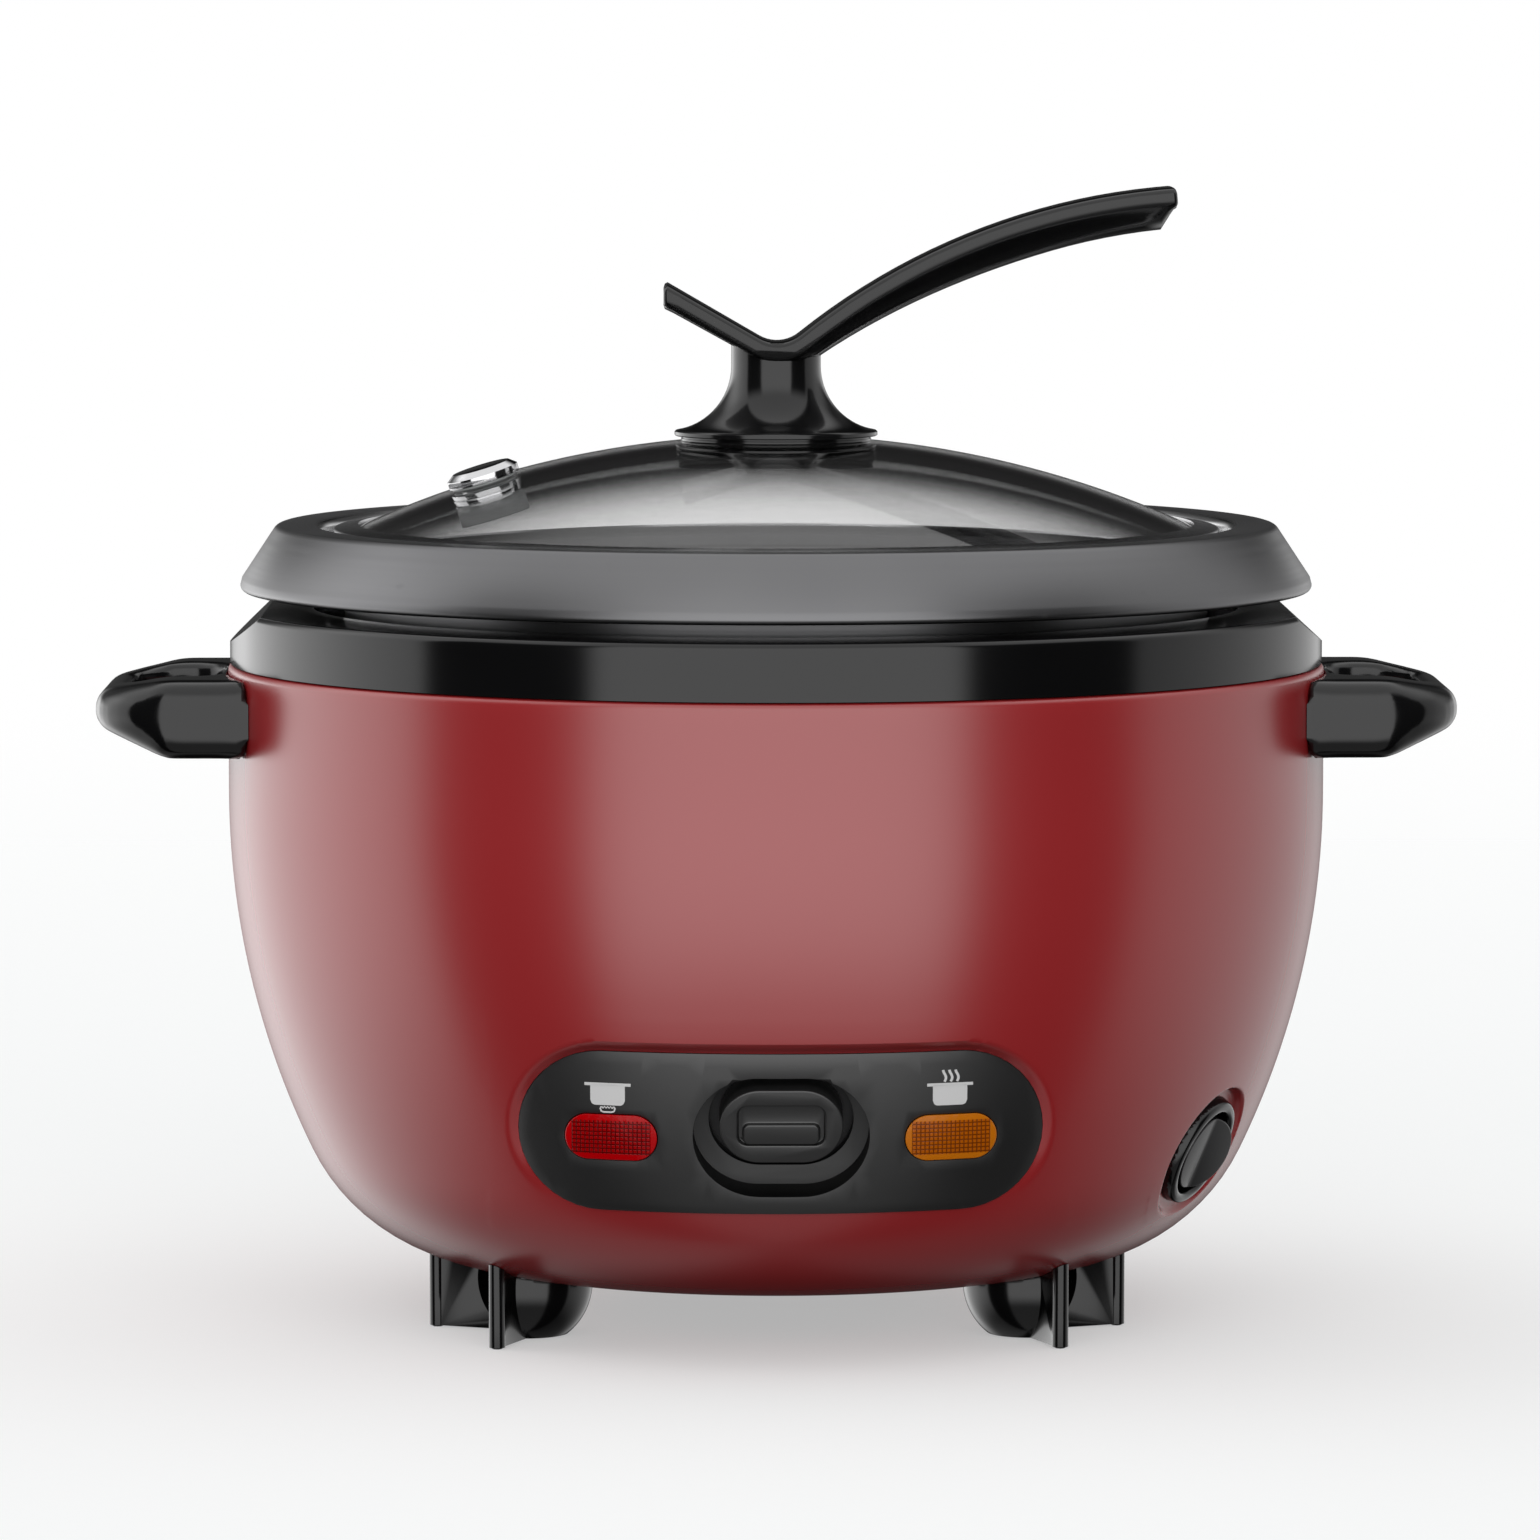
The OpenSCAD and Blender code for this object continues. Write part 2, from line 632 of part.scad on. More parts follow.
rod_z = lever_rear_z + 0.5;
rod_len = 7.8;
rod_magnet_h = 3.4;

module magnet_rod() color(steel) translate([0, 0, rod_z]) cylinder(r = 1.6, h = rod_len, $fn = 32);

module rod_magnet() color([0.3, 0.3, 0.32])
    translate([0, 0, rod_z + rod_len + 0.02]) cylinder(r = 7.4, h = rod_magnet_h, $fn = 64);

plate_top = pot_floor - rest_gap;
cap_t = 2;
tube_r = 9.4;
tube_t = 1.1;

module sensor_cap() color(steel) rotate_extrude() polygon([
    [0, plate_top], [sensor_r - 0.6, plate_top], [sensor_r, plate_top - 0.6], [sensor_r, plate_top - cap_t],
    [tube_r, plate_top - cap_t], [tube_r, shield_floor - 4], [tube_r - tube_t, shield_floor - 4],
    [tube_r - tube_t, plate_top - cap_t], [0, plate_top - cap_t]
]);

module sensor_magnet() color([0.3, 0.3, 0.32]) translate([0, 0, plate_top - cap_t - 3.6 - 0.02]) cylinder(r = tube_r - tube_t - seat, h = 3.6, $fn = 64);

guide_floor = plate_floor - 3.4;

module sensor_guide() color(steel) rotate_extrude() polygon([
    [tube_r + 0.35, guide_floor], [24, guide_floor], [24, plate_floor - seat], [22.8, plate_floor - seat],
    [22.8, guide_floor + 1.2], [tube_r + 0.35, guide_floor + 1.2]
]);

spring_r = 13;
spring_wire = 0.7;
spring_turns = 3.5;
spring_low = guide_floor + 1.2 + spring_wire + 0.1;
spring_high = plate_top - cap_t - spring_wire - 0.1;

// coil spring: a ring of points at each step, stepped along the helix
module sensor_spring() color(steel) {
    steps = 70;
    sides = 6;
    points = [for (i = [0:steps], k = [0:sides - 1])
        let (t = i / steps, turn = 360 * spring_turns * t, a = 360 * k / sides, r = spring_r + spring_wire * cos(a))
        [r * cos(turn), r * sin(turn), spring_low + (spring_high - spring_low) * t + spring_wire * sin(a)]];
    faces = concat(
        [[for (k = [0:sides - 1]) k]],
        [for (i = [0:steps - 1], k = [0:sides - 1]) let (n = (k + 1) % sides)
            [i * sides + k, (i + 1) * sides + k, (i + 1) * sides + n, i * sides + n]],
        [[for (k = [sides - 1:-1:0]) steps * sides + k]]);
    polyhedron(points, faces);
}

heater_r = 42;
tube_heater_r = 3.3;
heater_z = plate_floor - 0.6;
heater_span = 320;

module heater_path(r) {
    translate([0, 0, heater_z]) rotate([0, 0, 110]) rotate_extrude(angle = heater_span) translate([heater_r, 0]) circle(r, $fn = 48);
}

module heating_plate() color(steel) difference() {
    union() {
        translate([0, 0, plate_floor]) cylinder(r = plate_r, h = plate_top - plate_floor - 1.5);
        translate([0, 0, plate_top - 1.5 - eps]) cylinder(r1 = plate_r, r2 = plate_r - 3, h = 1.5 + eps);
    }
    translate([0, 0, plate_floor - 1]) cylinder(r = sensor_r + 0.5, h = 20);
    heater_path(tube_heater_r + 0.05);
    around(spacer_turns) translate([spacer_r, 0, plate_floor - 1]) cylinder(r = 1.6, h = 5, $fn = 24);
}

module heater_tube() color([0.45, 0.45, 0.47]) {
    heater_path(tube_heater_r);
    for (turn = [110 + 1.5, 110 + heater_span - 1.5]) rotate([0, 0, turn])
        translate([heater_r, 0, shield_floor + shield_wall + 0.4]) cylinder(r = 1.4, h = heater_z - shield_floor - 3, $fn = 24);
}

module plate_spacers() color(steel) around(spacer_turns) translate([spacer_r, 0, shield_floor + shield_wall + seat])
    difference() {
        cylinder(r = 4, h = plate_floor - shield_floor - shield_wall - 2 * seat, $fn = 48);
        translate([0, 0, -1]) cylinder(r = 1.6, h = 20, $fn = 24);
    }

module plate_screws() color(steel) around(spacer_turns)
    translate([spacer_r, 0, shield_floor - seat]) screw(1.5, plate_floor - shield_floor + 3, 3, 1.6);

module shield_legs() color(steel) around(leg_turns) translate([leg_r, 0, bracket_z])
    difference() {
        cylinder(r = 4, h = shield_floor - bracket_z - seat, $fn = 48);
        translate([0, 0, 2]) cylinder(r = 1.6, h = 40, $fn = 24);
    }

module thermal_fuse() color([0.9, 0.88, 0.8]) translate([-26, 26, shield_floor - 2.3]) rotate([90, 0, 60])
    cylinder(r = 2, h = 14, center = true, $fn = 32);

// ---- power ----

module power_inlet() color(black) difference() {
    translate([0, inlet_y, inlet_z]) rotate([90, 0, 0]) linear_extrude(13.8) soft_rect(inlet_w, inlet_h, 2.5);
    translate([0, inlet_y + 1, inlet_z]) rotate([90, 0, 0]) linear_extrude(13) soft_rect(inlet_w - 8, inlet_h - 5, 2);
}

module inlet_pins() color("gold") for (p = [[-6, 0], [0, 3], [6, 0]])
    translate([p[0], inlet_y - 12 + 10, inlet_z + p[1]]) rotate([90, 0, 0]) cylinder(r = 1.2, h = 10 - 0.05, $fn = 32);

module terminal_block() color(pale) rotate([0, 0, 135]) difference() {
    translate([46.5, -12, bracket_z]) cube([9, 24, 10]);
    for (y = [-8, 0, 8]) translate([51, y, bracket_z + 4]) cylinder(r = 1.6, h = 20, $fn = 24);
}

switch_depth = 11;

module switch_bezel() color(black) on_shell(switch_turn, switch_z) difference() {
    union() {
        translate([0, 0, -pocket_depth + seat]) cylinder(r1 = bezel_r, r2 = bezel_r - 0.8, h = 3);
        translate([0, 0, -switch_depth]) cylinder(r = bezel_r - 1.5, h = switch_depth);
    }
    translate([0, 0, -switch_depth + 1.5]) cylinder(r = rocker_r + 0.9, h = 30);
}

rocker_axis = -2.2;   // depth of the rocker's axle under the shell's surface

module power_rocker() color(black) on_shell(switch_turn, switch_z) translate([0, 0, rocker_axis])
    rotate([rocker_swing, 0, 0]) difference() {
        translate([0, 0, -4]) cylinder(r = rocker_r, h = 10);
        // two faces that meet in a shallow valley across the middle
        translate([-20, 0, 0]) rotate([90, 0, 90]) linear_extrude(40)
            polygon([[0, 3.4], [12, 5.6], [12, 20], [-12, 20], [-12, 5.6]]);
    }

// ---- pot ----

pot_r = body_r - jacket;
rim_top = shell_top + rim_rise;
rim_r = body_r - 9.4;
skirt_r = body_r - 2.5;
ledge_z = rim_top - lid_seat_depth;
ledge_r = pot_r + 3;

module inner_pot() color([0.42, 0.42, 0.43]) {
    rotate_extrude($fn = 180) difference() {
        cup_section(pot_r, pot_corner, pot_floor, ledge_z);
        cup_section(pot_r - pot_wall, pot_corner - pot_wall, pot_floor + pot_wall, ledge_z + 1);
    }
    rotate_extrude($fn = 180) polygon([
        [pot_r - pot_wall / 2, ledge_z - pot_wall], [pot_r - pot_wall / 2, ledge_z + 0.01],
        [ledge_r, ledge_z + 0.01], [ledge_r + 1.4, rim_top - 2.6], [ledge_r + 2, rim_top - 1.3],
        [ledge_r + 3.2, rim_top - 0.5], [rim_r - 1, rim_top], [rim_r - 0.2, rim_top - 0.1], [rim_r + 0.4, rim_top - 0.6],
        [skirt_r - 0.3, rim_top - skirt_h + 0.6], [skirt_r, rim_top - skirt_h - 0.4],
        [skirt_r - 0.1, rim_top - skirt_h - 1.2], [skirt_r - 0.6, rim_top - skirt_h - 1.9],
        [skirt_r - 1.4, rim_top - skirt_h - 2.2], [skirt_r - 2.4, rim_top - skirt_h - 1.4],
        [rim_r - 1.2, rim_top - 2.1], [ledge_r + 3.8, rim_top - 2.3],
        [ledge_r + 2.8, rim_top - 3.2], [ledge_r + 1.2, ledge_z - pot_wall + 0.5], [ledge_r + 0.5, ledge_z - pot_wall]
    ]);
}

// ---- lid ----

lid_r = ledge_r - lid_gap;
glass_r = lid_r - 2.2;
lid_base = ledge_z + rest_gap;
glass_edge_z = lid_base + 6;
dome_cz = glass_edge_z - sqrt(dome_r * dome_r - glass_r * glass_r);
apex = dome_cz + dome_r;
knob_hole_r = 3.4;
vent_hole_r = 5;

// half section of the space under a dome of radius r, out to x = reach, above the lid's base
module dome_section(r, reach) {
    intersection() {
        translate([0, dome_cz]) circle(r, $fn = 720);
        translate([0, lid_base - 5]) square([reach, 100]);
    }
}

module vent_frame() {
    translate([0, 0, dome_cz]) rotate([0, 0, vent_turn]) rotate([0, vent_slope, 0]) translate([0, 0, dome_r]) children();
}

module glass_dome() color([0.7, 0.75, 0.78, 0.4]) difference() {
    rotate_extrude($fn = 180) difference() {
        dome_section(dome_r, glass_r);
        dome_section(dome_r - glass_t, glass_r + 1);
        square([300, lid_base - 6]);
    }
    cylinder(r = knob_hole_r, h = 400);
    vent_frame() cylinder(r = vent_hole_r, h = 20, center = true);
}

module lid_rim() color(steel) rotate_extrude($fn = 180) difference() {
    polygon([
        [lid_r - 0.6, lid_base], [lid_r, lid_base + 0.6], [lid_r, glass_edge_z + 0.6], [lid_r - 0.7, glass_edge_z + 1.3],
        [glass_r - 3, glass_edge_z + 2.2], [glass_r - 3, lid_base + 0.6], [glass_r - 2.4, lid_base]
    ]);
    difference() {
        dome_section(dome_r + 0.05, glass_r + 0.05);
        dome_section(dome_r - glass_t - 0.05, glass_r + 1);
    }
}

module vent_grommet() color(pale) vent_frame() difference() {
    union() {
        translate([0, 0, -glass_t - 4.2]) cylinder(r = vent_r - 0.2, h = 4);
        translate([0, 0, -glass_t - 2]) cylinder(r = vent_hole_r - 0.1, h = glass_t + 2.2);
        translate([0, 0, 0.15]) cylinder(r = vent_r - 0.6, h = 0.45);
    }
    translate([0, 0, -12]) cylinder(r = 3, h = 20, $fn = 48);
}

module vent_cap() color(steel) vent_frame() difference() {
    union() {
        translate([0, 0, 0.65]) cylinder(r = vent_r, h = 1.5);
        translate([0, 0, 2.15 - eps]) cylinder(r1 = vent_r, r2 = vent_r - 1.4, h = 1.1);
        translate([0, 0, -4]) cylinder(r = 2.9, h = 6, $fn = 48);
    }
    translate([0, 0, -5]) cylinder(r = 2, h = 5.4, $fn = 48);
}

seal_r = flange_r - 3.1;
collar_r = flange_r - 1.3;
stem_top = apex + stem_h;

module knob_seal() color([0.2, 0.2, 0.2]) rotate_extrude() difference() {
    dome_section(dome_r + 1.05, seal_r);
    dome_section(dome_r + 0.05, seal_r + 1);
    square([knob_hole_r, 400]);
}

module clamp_washer() color(steel) rotate_extrude() difference() {
    dome_section(dome_r - glass_t - 0.05, flange_r - 0.7);
    dome_section(dome_r - glass_t - 1.5, flange_r);
    square([knob_hole_r, 400]);
}

module lid_screw() color(steel) {
    top = apex - glass_t - 1.7;
    translate([0, 0, top]) cylinder(r = 2.4, h = stem_top - 5 - top, $fn = 32);
    translate([0, 0, top - 1.6]) cylinder(r = 6.4, h = 1.4, $fn = 48);
    translate([0, 0, top - 0.25]) cylinder(r = 2.4, h = 0.5, $fn = 32);
    translate([0, 0, top - 3]) cylinder(r1 = 5, r2 = 6.4, h = 1.4 + eps, $fn = 48);
}

module lid_stem() color(black) rotate_extrude() difference() {
    union() {
        translate([0, apex - 2]) square([collar_r, 3]);
        translate([0, apex - 0.4]) difference() {
            square([flange_r, stem_h + 0.4]);
            translate([stem_r + flare_r, stem_h + 1.2]) circle(flare_r);
            translate([stem_r + flare_r, 2.4]) square([50, 50]);
        }
    }
    dome_section(dome_r + 0.15, 50);
    dome_section(dome_r + 1.15, seal_r + 0.2);
    square([2.5, stem_top - 4.4]);
    translate([0, stem_top - 4.2]) square([4.1, 10]);
}

// ---- lid grip: a section swept along the short wing, the hollow and the long wing ----

crook_z = stem_top + 11.9;
crook_x = 0.2;
arch_x = crook_x + (arch_r + crook_r) * sin(arch_start);
arch_z = crook_z - (arch_r + crook_r) * cos(arch_start);
wing_start = [crook_x - crook_r * sin(short_rise), crook_z - crook_r * cos(short_rise)];

tip_cut = 2.7;        // length of the cut under the long wing's tip
arch_len = arch_r * (arch_start - arch_end) * PI / 180;
keel_end = 1 - tip_cut / arch_len;

// a place along the top of the long wing, from 0 at the hollow to 1 at the tip
function arch_station(t, keel) = let (s = arch_start + (arch_end - arch_start) * t)
    [arch_x - arch_r * sin(s), arch_z + arch_r * cos(s), s, 9.5 + 3 * t * t, keel];

// stations along the top of the grip: x, z, slope, half width, keel depth
wing_stations = concat(
    [for (i = [0:5]) let (t = 1 - i / 5)
        [wing_start[0] - short_wing * t * cos(short_rise), wing_start[1] + short_wing * t * sin(short_rise),
         -short_rise, 9.5 + 1.5 * t, wing_edge + 0.5 + 0.5 * t]],
    [for (i = [1:9]) let (t = i / 10, s = -short_rise + (arch_start + short_rise) * t)
        [crook_x + crook_r * sin(s), crook_z - crook_r * cos(s), s, 9.5, wing_edge + 0.5 + 1.4 * t]],
    [for (i = [0:20]) let (t = keel_end * i / 20)
        arch_station(t, wing_edge + 2.4 + 2.9 * sin(90 * min(1, t * 1.5)) - 0.6 * t)],
    [arch_station(1, wing_edge + 1)]);

// a section of the grip: flat top, rounded edges, upright sides and a rounded keel
function wing_section(w, keel, shrink) = let (b = w - shrink, e = wing_edge, half = [
        [0, shrink - 0.3], [b * 0.55, shrink - 0.2], [b - 1.1, shrink], [b - 0.35, shrink + 0.3], [b, shrink + 1],
        [b, e - 0.7 - shrink * 0.5], [b - 0.5, e - shrink * 0.5]],
    under = [for (a = [20, 40, 60, 80]) [b * 0.93 * cos(a), e + (keel - e) * sin(a) - shrink]])
    concat(half, under, [[0, keel - shrink]],
        [for (i = [len(under) - 1:-1:0]) [-under[i][0], under[i][1]]],
        [for (i = [len(half) - 1:-1:1]) [-half[i][0], half[i][1]]]);

// the section at a station, square to the wing or upright
function wing_ring(st, shrink, shift, upright = false) =
    let (turn = upright ? 0 : st[2], deep = upright ? 1 / cos(st[2]) : 1)
    [for (p = wing_section(st[3], st[4], shrink))
        [st[0] + shift * cos(turn) + deep * p[1] * sin(turn), p[0], st[1] + shift * sin(turn) - deep * p[1] * cos(turn)]];

module lid_grip() color(black) {
    last = len(wing_stations) - 1;
    rings = concat(
        [wing_ring(wing_stations[0], 0.9, -0.8, true), wing_ring(wing_stations[0], 0.25, -0.55, true),
         wing_ring(wing_stations[0], 0, 0, true)],
        [for (i = [1:last]) wing_ring(wing_stations[i], 0, 0)],
        [wing_ring(wing_stations[last], 0.25, 0.55), wing_ring(wing_stations[last], 0.9, 0.8)]);
    n = len(rings[0]);
    m = len(rings);
    points = [for (ring = rings, p = ring) p];
    faces = concat([[for (k = [n - 1:-1:0]) k]],
        [for (i = [0:m - 2], k = [0:n - 1]) let (j = (k + 1) % n) [i * n + k, i * n + j, (i + 1) * n + j, (i + 1) * n + k]],
        [[for (k = [0:n - 1]) (m - 1) * n + k]]);
    polyhedron(points, faces);
    translate([0, 0, stem_top + seat]) cylinder(r = stem_r, h = 4.6);
    translate([0, 0, stem_top - 4]) cylinder(r = 4, h = 6);
}

outer_shell();
upper_ring();
heat_shield();
bottom_cover();
cover_screws();
rotate([0, 0, foot_turns[0]]) foot(foot_twists[0]);  // foot_left
rotate([0, 0, foot_turns[1]]) foot(foot_twists[1]);  // foot_right
rotate([0, 0, foot_turns[2]]) foot(foot_twists[2]);  // foot_rear
foot_screws();
rotate([0, 0, 180]) side_handle();  // side_handle_left
side_handle();  // side_handle_right
handle_screws();
control_panel();
lamp_lens(-1, [0.7, 0, 0.02]);  // cook_lamp_lens
lamp_lens(1, [0.85, 0.4, 0.02]);  // warm_lamp_lens
lamp_bulbs();
lamp_holders();
switch_bezel();
power_inlet();
inlet_pins();
terminal_block();
heating_plate();
heater_tube();
plate_spacers();
plate_screws();
shield_legs();
sensor_guide();
sensor_spring();
thermal_fuse();
lever_bracket();
lever_pin();
contact_switch();
cook_button();
button_carriage();
switch_lever();
magnet_rod();
rod_magnet();
sensor_cap();
sensor_magnet();
power_rocker();
inner_pot();
glass_dome();
lid_rim();
vent_grommet();
vent_cap();
knob_seal();
clamp_washer();
lid_screw();
lid_stem();
lid_grip();
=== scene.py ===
# %% [markdown]
# A rice cooker: a red moulded body with a black ring and side handles, an aluminium pot that lifts
# out, and a glass lid with a black grip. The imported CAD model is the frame: it says where every part
# is and which parts move. Hidden parts keep their CAD shape and get a finish. The parts that are seen
# up close are modelled again here, with the soft edges and small marks that moulded parts have.

# %% Load the frame
import bpy
import math
import json
from mathutils import Vector, Matrix


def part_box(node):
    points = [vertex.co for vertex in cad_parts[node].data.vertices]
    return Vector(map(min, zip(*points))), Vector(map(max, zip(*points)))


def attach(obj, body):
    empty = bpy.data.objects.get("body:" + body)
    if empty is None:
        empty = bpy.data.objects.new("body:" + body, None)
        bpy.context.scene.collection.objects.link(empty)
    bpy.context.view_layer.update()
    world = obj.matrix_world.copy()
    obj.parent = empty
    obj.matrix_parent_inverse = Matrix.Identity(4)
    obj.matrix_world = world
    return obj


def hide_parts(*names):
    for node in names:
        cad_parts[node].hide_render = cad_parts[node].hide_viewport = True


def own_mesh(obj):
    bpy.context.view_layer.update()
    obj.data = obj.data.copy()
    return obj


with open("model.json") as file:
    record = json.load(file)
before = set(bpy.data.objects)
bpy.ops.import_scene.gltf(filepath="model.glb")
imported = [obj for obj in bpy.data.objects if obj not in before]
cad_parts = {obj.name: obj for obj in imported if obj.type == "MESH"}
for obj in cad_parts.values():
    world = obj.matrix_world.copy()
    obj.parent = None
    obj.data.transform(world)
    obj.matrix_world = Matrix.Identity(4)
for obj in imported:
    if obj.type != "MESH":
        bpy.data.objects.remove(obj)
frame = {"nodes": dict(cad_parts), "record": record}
scene = bpy.context.scene
nodes = frame["nodes"]
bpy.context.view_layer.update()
MM = 0.001
print("CAD nodes:", len(nodes))

# %% [markdown]
# Every operator works on what is selected, so a small set of helpers starts each job from a clean
# selection. `select_only` picks one object, `edit` opens it with nothing or everything selected, and
# `fresh` adds a primitive.

# %% Selection helpers
def select_only(piece):
    bpy.ops.object.select_all(action="DESELECT")
    piece.select_set(True)
    bpy.context.view_layer.objects.active = piece


def edit(piece, pick="SELECT", mode="VERT"):
    select_only(piece)
    bpy.ops.object.mode_set(mode="EDIT")
    bpy.ops.mesh.select_mode(type=mode)
    bpy.ops.mesh.select_all(action=pick)


def fresh(add_primitive, name, **values):
    """Adds a primitive to a clean selection and names it."""
    bpy.ops.object.select_all(action="DESELECT")
    add_primitive(**values)
    piece = bpy.context.object
    piece.name = name
    return piece


def leave_edit():
    bpy.ops.object.mode_set(mode="OBJECT")


def leave_closed():
    """Turns the selected faces outward and leaves edit mode."""
    bpy.ops.mesh.normals_make_consistent(inside=False)
    leave_edit()


def refine(piece, test, cuts):
    """Subdivides the faces whose middle passes the test."""
    edit(piece, "DESELECT", "FACE")
    leave_edit()
    for face in piece.data.polygons:
        face.select = test(face.center)
    bpy.ops.object.mode_set(mode="EDIT")
    bpy.ops.mesh.subdivide(number_cuts=cuts)
    leave_edit()


def modify(piece, kind, **settings):
    """Adds a modifier with those settings and applies it."""
    modifier = piece.modifiers.new(kind, kind)
    for key, value in settings.items():
        setattr(modifier, key, value)
    select_only(piece)
    bpy.ops.object.modifier_apply(modifier=modifier.name)


def smooth(piece, angle):
    select_only(piece)
    bpy.ops.object.shade_smooth_by_angle(angle=math.radians(angle))


finish_of = {}


def place(piece, body, slot, *replaced, look=None):
    """Puts a finished piece on its body, names its finish and hides the CAD nodes it stands for."""
    finish_of[piece.name] = look or slot
    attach(piece, body)
    if replaced:
        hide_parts(*replaced)
    print(piece.name, "-", len(piece.data.polygons), "faces on", body)


# %% [markdown]
# Most of a rice cooker is round: it could be drawn as a half section and spun, or built up ring by
# ring. Here a circle is extruded from point to point of the outline and resized to each radius, as by
# hand. The points are (radius, height) in millimetres, and the outline ends on its first ring.

# %% Turned pieces
AXIS_R = 0.001  # radius that stands for a pole on the axis, in mm


def arc(centre_r, centre_z, radius, start, end, steps):
    """Points on an arc of a half section, angles in degrees, 0 outward and 90 up."""
    turns = [math.radians(start + (end - start) * i / steps) for i in range(steps + 1)]
    return [(centre_r + radius * math.cos(t), centre_z + radius * math.sin(t)) for t in turns]


def turned(name, outline, sides):
    """Spins a closed outline of (radius, height) points into a piece with that many sides."""
    ring = [(max(r, AXIS_R) * MM, z * MM) for r, z in outline + outline[:1]]
    piece = fresh(bpy.ops.mesh.primitive_circle_add, name, vertices=sides, radius=ring[0][0],
                  location=(0, 0, ring[0][1]))
    bpy.ops.object.transform_apply()
    edit(piece)
    for (r0, z0), (r1, z1) in zip(ring, ring[1:]):
        bpy.ops.mesh.extrude_region_move(TRANSFORM_OT_translate={"value": (0, 0, z1 - z0)})
        bpy.ops.transform.resize(value=(r1 / r0, r1 / r0, 1), center_override=(0, 0, z1))
    bpy.ops.mesh.select_all(action="SELECT")
    bpy.ops.mesh.remove_doubles(threshold=0.005 * MM)
    leave_closed()
    return piece


# %% [markdown]
# Moulded plastic has no sharp edges. The CAD nodes do, and their triangles are split along every CAD
# face. So a visible moulded part starts as a merged copy of its CAD mesh, whose true edges then get a
# small bevel. The copy keeps the place and size of the node.

# %% Softened copies
def merged_copy(node, name):
    """A copy of a CAD node whose split triangles are joined again."""
    mesh = nodes[node].data.copy()
    mesh.materials.clear()
    piece = bpy.data.objects.new(name, mesh)
    scene.collection.objects.link(piece)
    edit(piece)
    bpy.ops.mesh.customdata_custom_splitnormals_clear()
    bpy.ops.mesh.remove_doubles(threshold=0.004 * MM)
    bpy.ops.mesh.dissolve_limited(angle_limit=math.radians(0.6))
    leave_closed()
    return piece


def softened(node, name, width, smooth_angle=40):
    """A merged copy whose sharp edges get a bevel of that width in millimetres."""
    piece = merged_copy(node, name)
    modify(piece, "BEVEL", width=width * MM, segments=3, limit_method="ANGLE", angle_limit=math.radians(32))
    smooth(piece, smooth_angle)
    return piece


# %% [markdown]
# The shell is one moulded bowl: an upright wall, a long flank curve, a tighter heel curve and a flat
# floor with a service opening. The arcs meet without a kink, so the outline is worked out from their
# radii and the shell's box, and turned in one go.

# %% The shell's outline
def top_of(node):
    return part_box(node)[1] / MM


def foot_of(node):
    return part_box(node)[0] / MM


BODY_R = top_of("outer_shell").x
SHELL_TOP = top_of("outer_shell").z
SHELL_FLOOR = foot_of("outer_shell").z
SHELL_WALL = 2.2
STRAIGHT_H = 26.0
FLANK_R = 165.0
HEEL_R = 39.0
LIP_R = 1.5
FLOOR_HOLE_R = 40.0
SEAT = 0.1  # gap between fastened pieces
FLANK_TOP = SHELL_TOP - STRAIGHT_H
FLANK_CR = BODY_R - FLANK_R
HEEL_CZ = SHELL_FLOOR + HEEL_R
JOIN = math.asin((FLANK_TOP - HEEL_CZ) / (FLANK_R - HEEL_R))
JOIN_Z = FLANK_TOP - FLANK_R * math.sin(JOIN)
HEEL_CR = FLANK_CR + (FLANK_R - HEEL_R) * math.cos(JOIN)


def shell_r(z, inset=0.0):
    """Radius of the shell at a height, inset under its surface."""
    if z >= FLANK_TOP:
        return BODY_R - inset
    if z >= JOIN_Z:
        return FLANK_CR + math.sqrt((FLANK_R - inset) ** 2 - (FLANK_TOP - z) ** 2)
    return HEEL_CR + math.sqrt(max(0, (HEEL_R - inset) ** 2 - (HEEL_CZ - z) ** 2))


def shell_lean(z):
    """Angle between the shell's surface and the upright, in radians."""
    return math.asin(max(0, FLANK_TOP - z) / FLANK_R)


def shell_curve(inset, flank_steps, heel_steps):
    """The flank and the heel as points from the top down, inset under the surface."""
    join = math.degrees(JOIN)
    return (arc(FLANK_CR, FLANK_TOP, FLANK_R - inset, 0, -join, flank_steps)
            + arc(HEEL_CR, HEEL_CZ, HEEL_R - inset, -join, -90, heel_steps)[1:])


outside = shell_curve(0, flank_steps=30, heel_steps=14)
inside = shell_curve(SHELL_WALL, flank_steps=10, heel_steps=8)
WALL_STEPS = 8
straight = [(BODY_R, SHELL_TOP - LIP_R - i * (STRAIGHT_H - LIP_R) / WALL_STEPS)
            for i in range(1, WALL_STEPS)]
shell_outline = (arc(BODY_R - LIP_R, SHELL_TOP - LIP_R, LIP_R, 90, 0, 6) + straight + outside
                 + [(FLOOR_HOLE_R, SHELL_FLOOR), (FLOOR_HOLE_R, SHELL_FLOOR + SHELL_WALL)]
                 + inside[::-1] + [(BODY_R - SHELL_WALL, SHELL_TOP)])
shell = turned("body_shell", shell_outline, sides=256)
print("shell outline:", len(shell_outline), "points")

# %% [markdown]
# The shell is dished where the panel and the power switch sit. A boolean cut would leave sharp rims,
# and a bevel on a curved wall gathers badly. Here the faces round each place are subdivided, and
# their points are moved in by a smooth step, so the rim is soft as on the moulding.

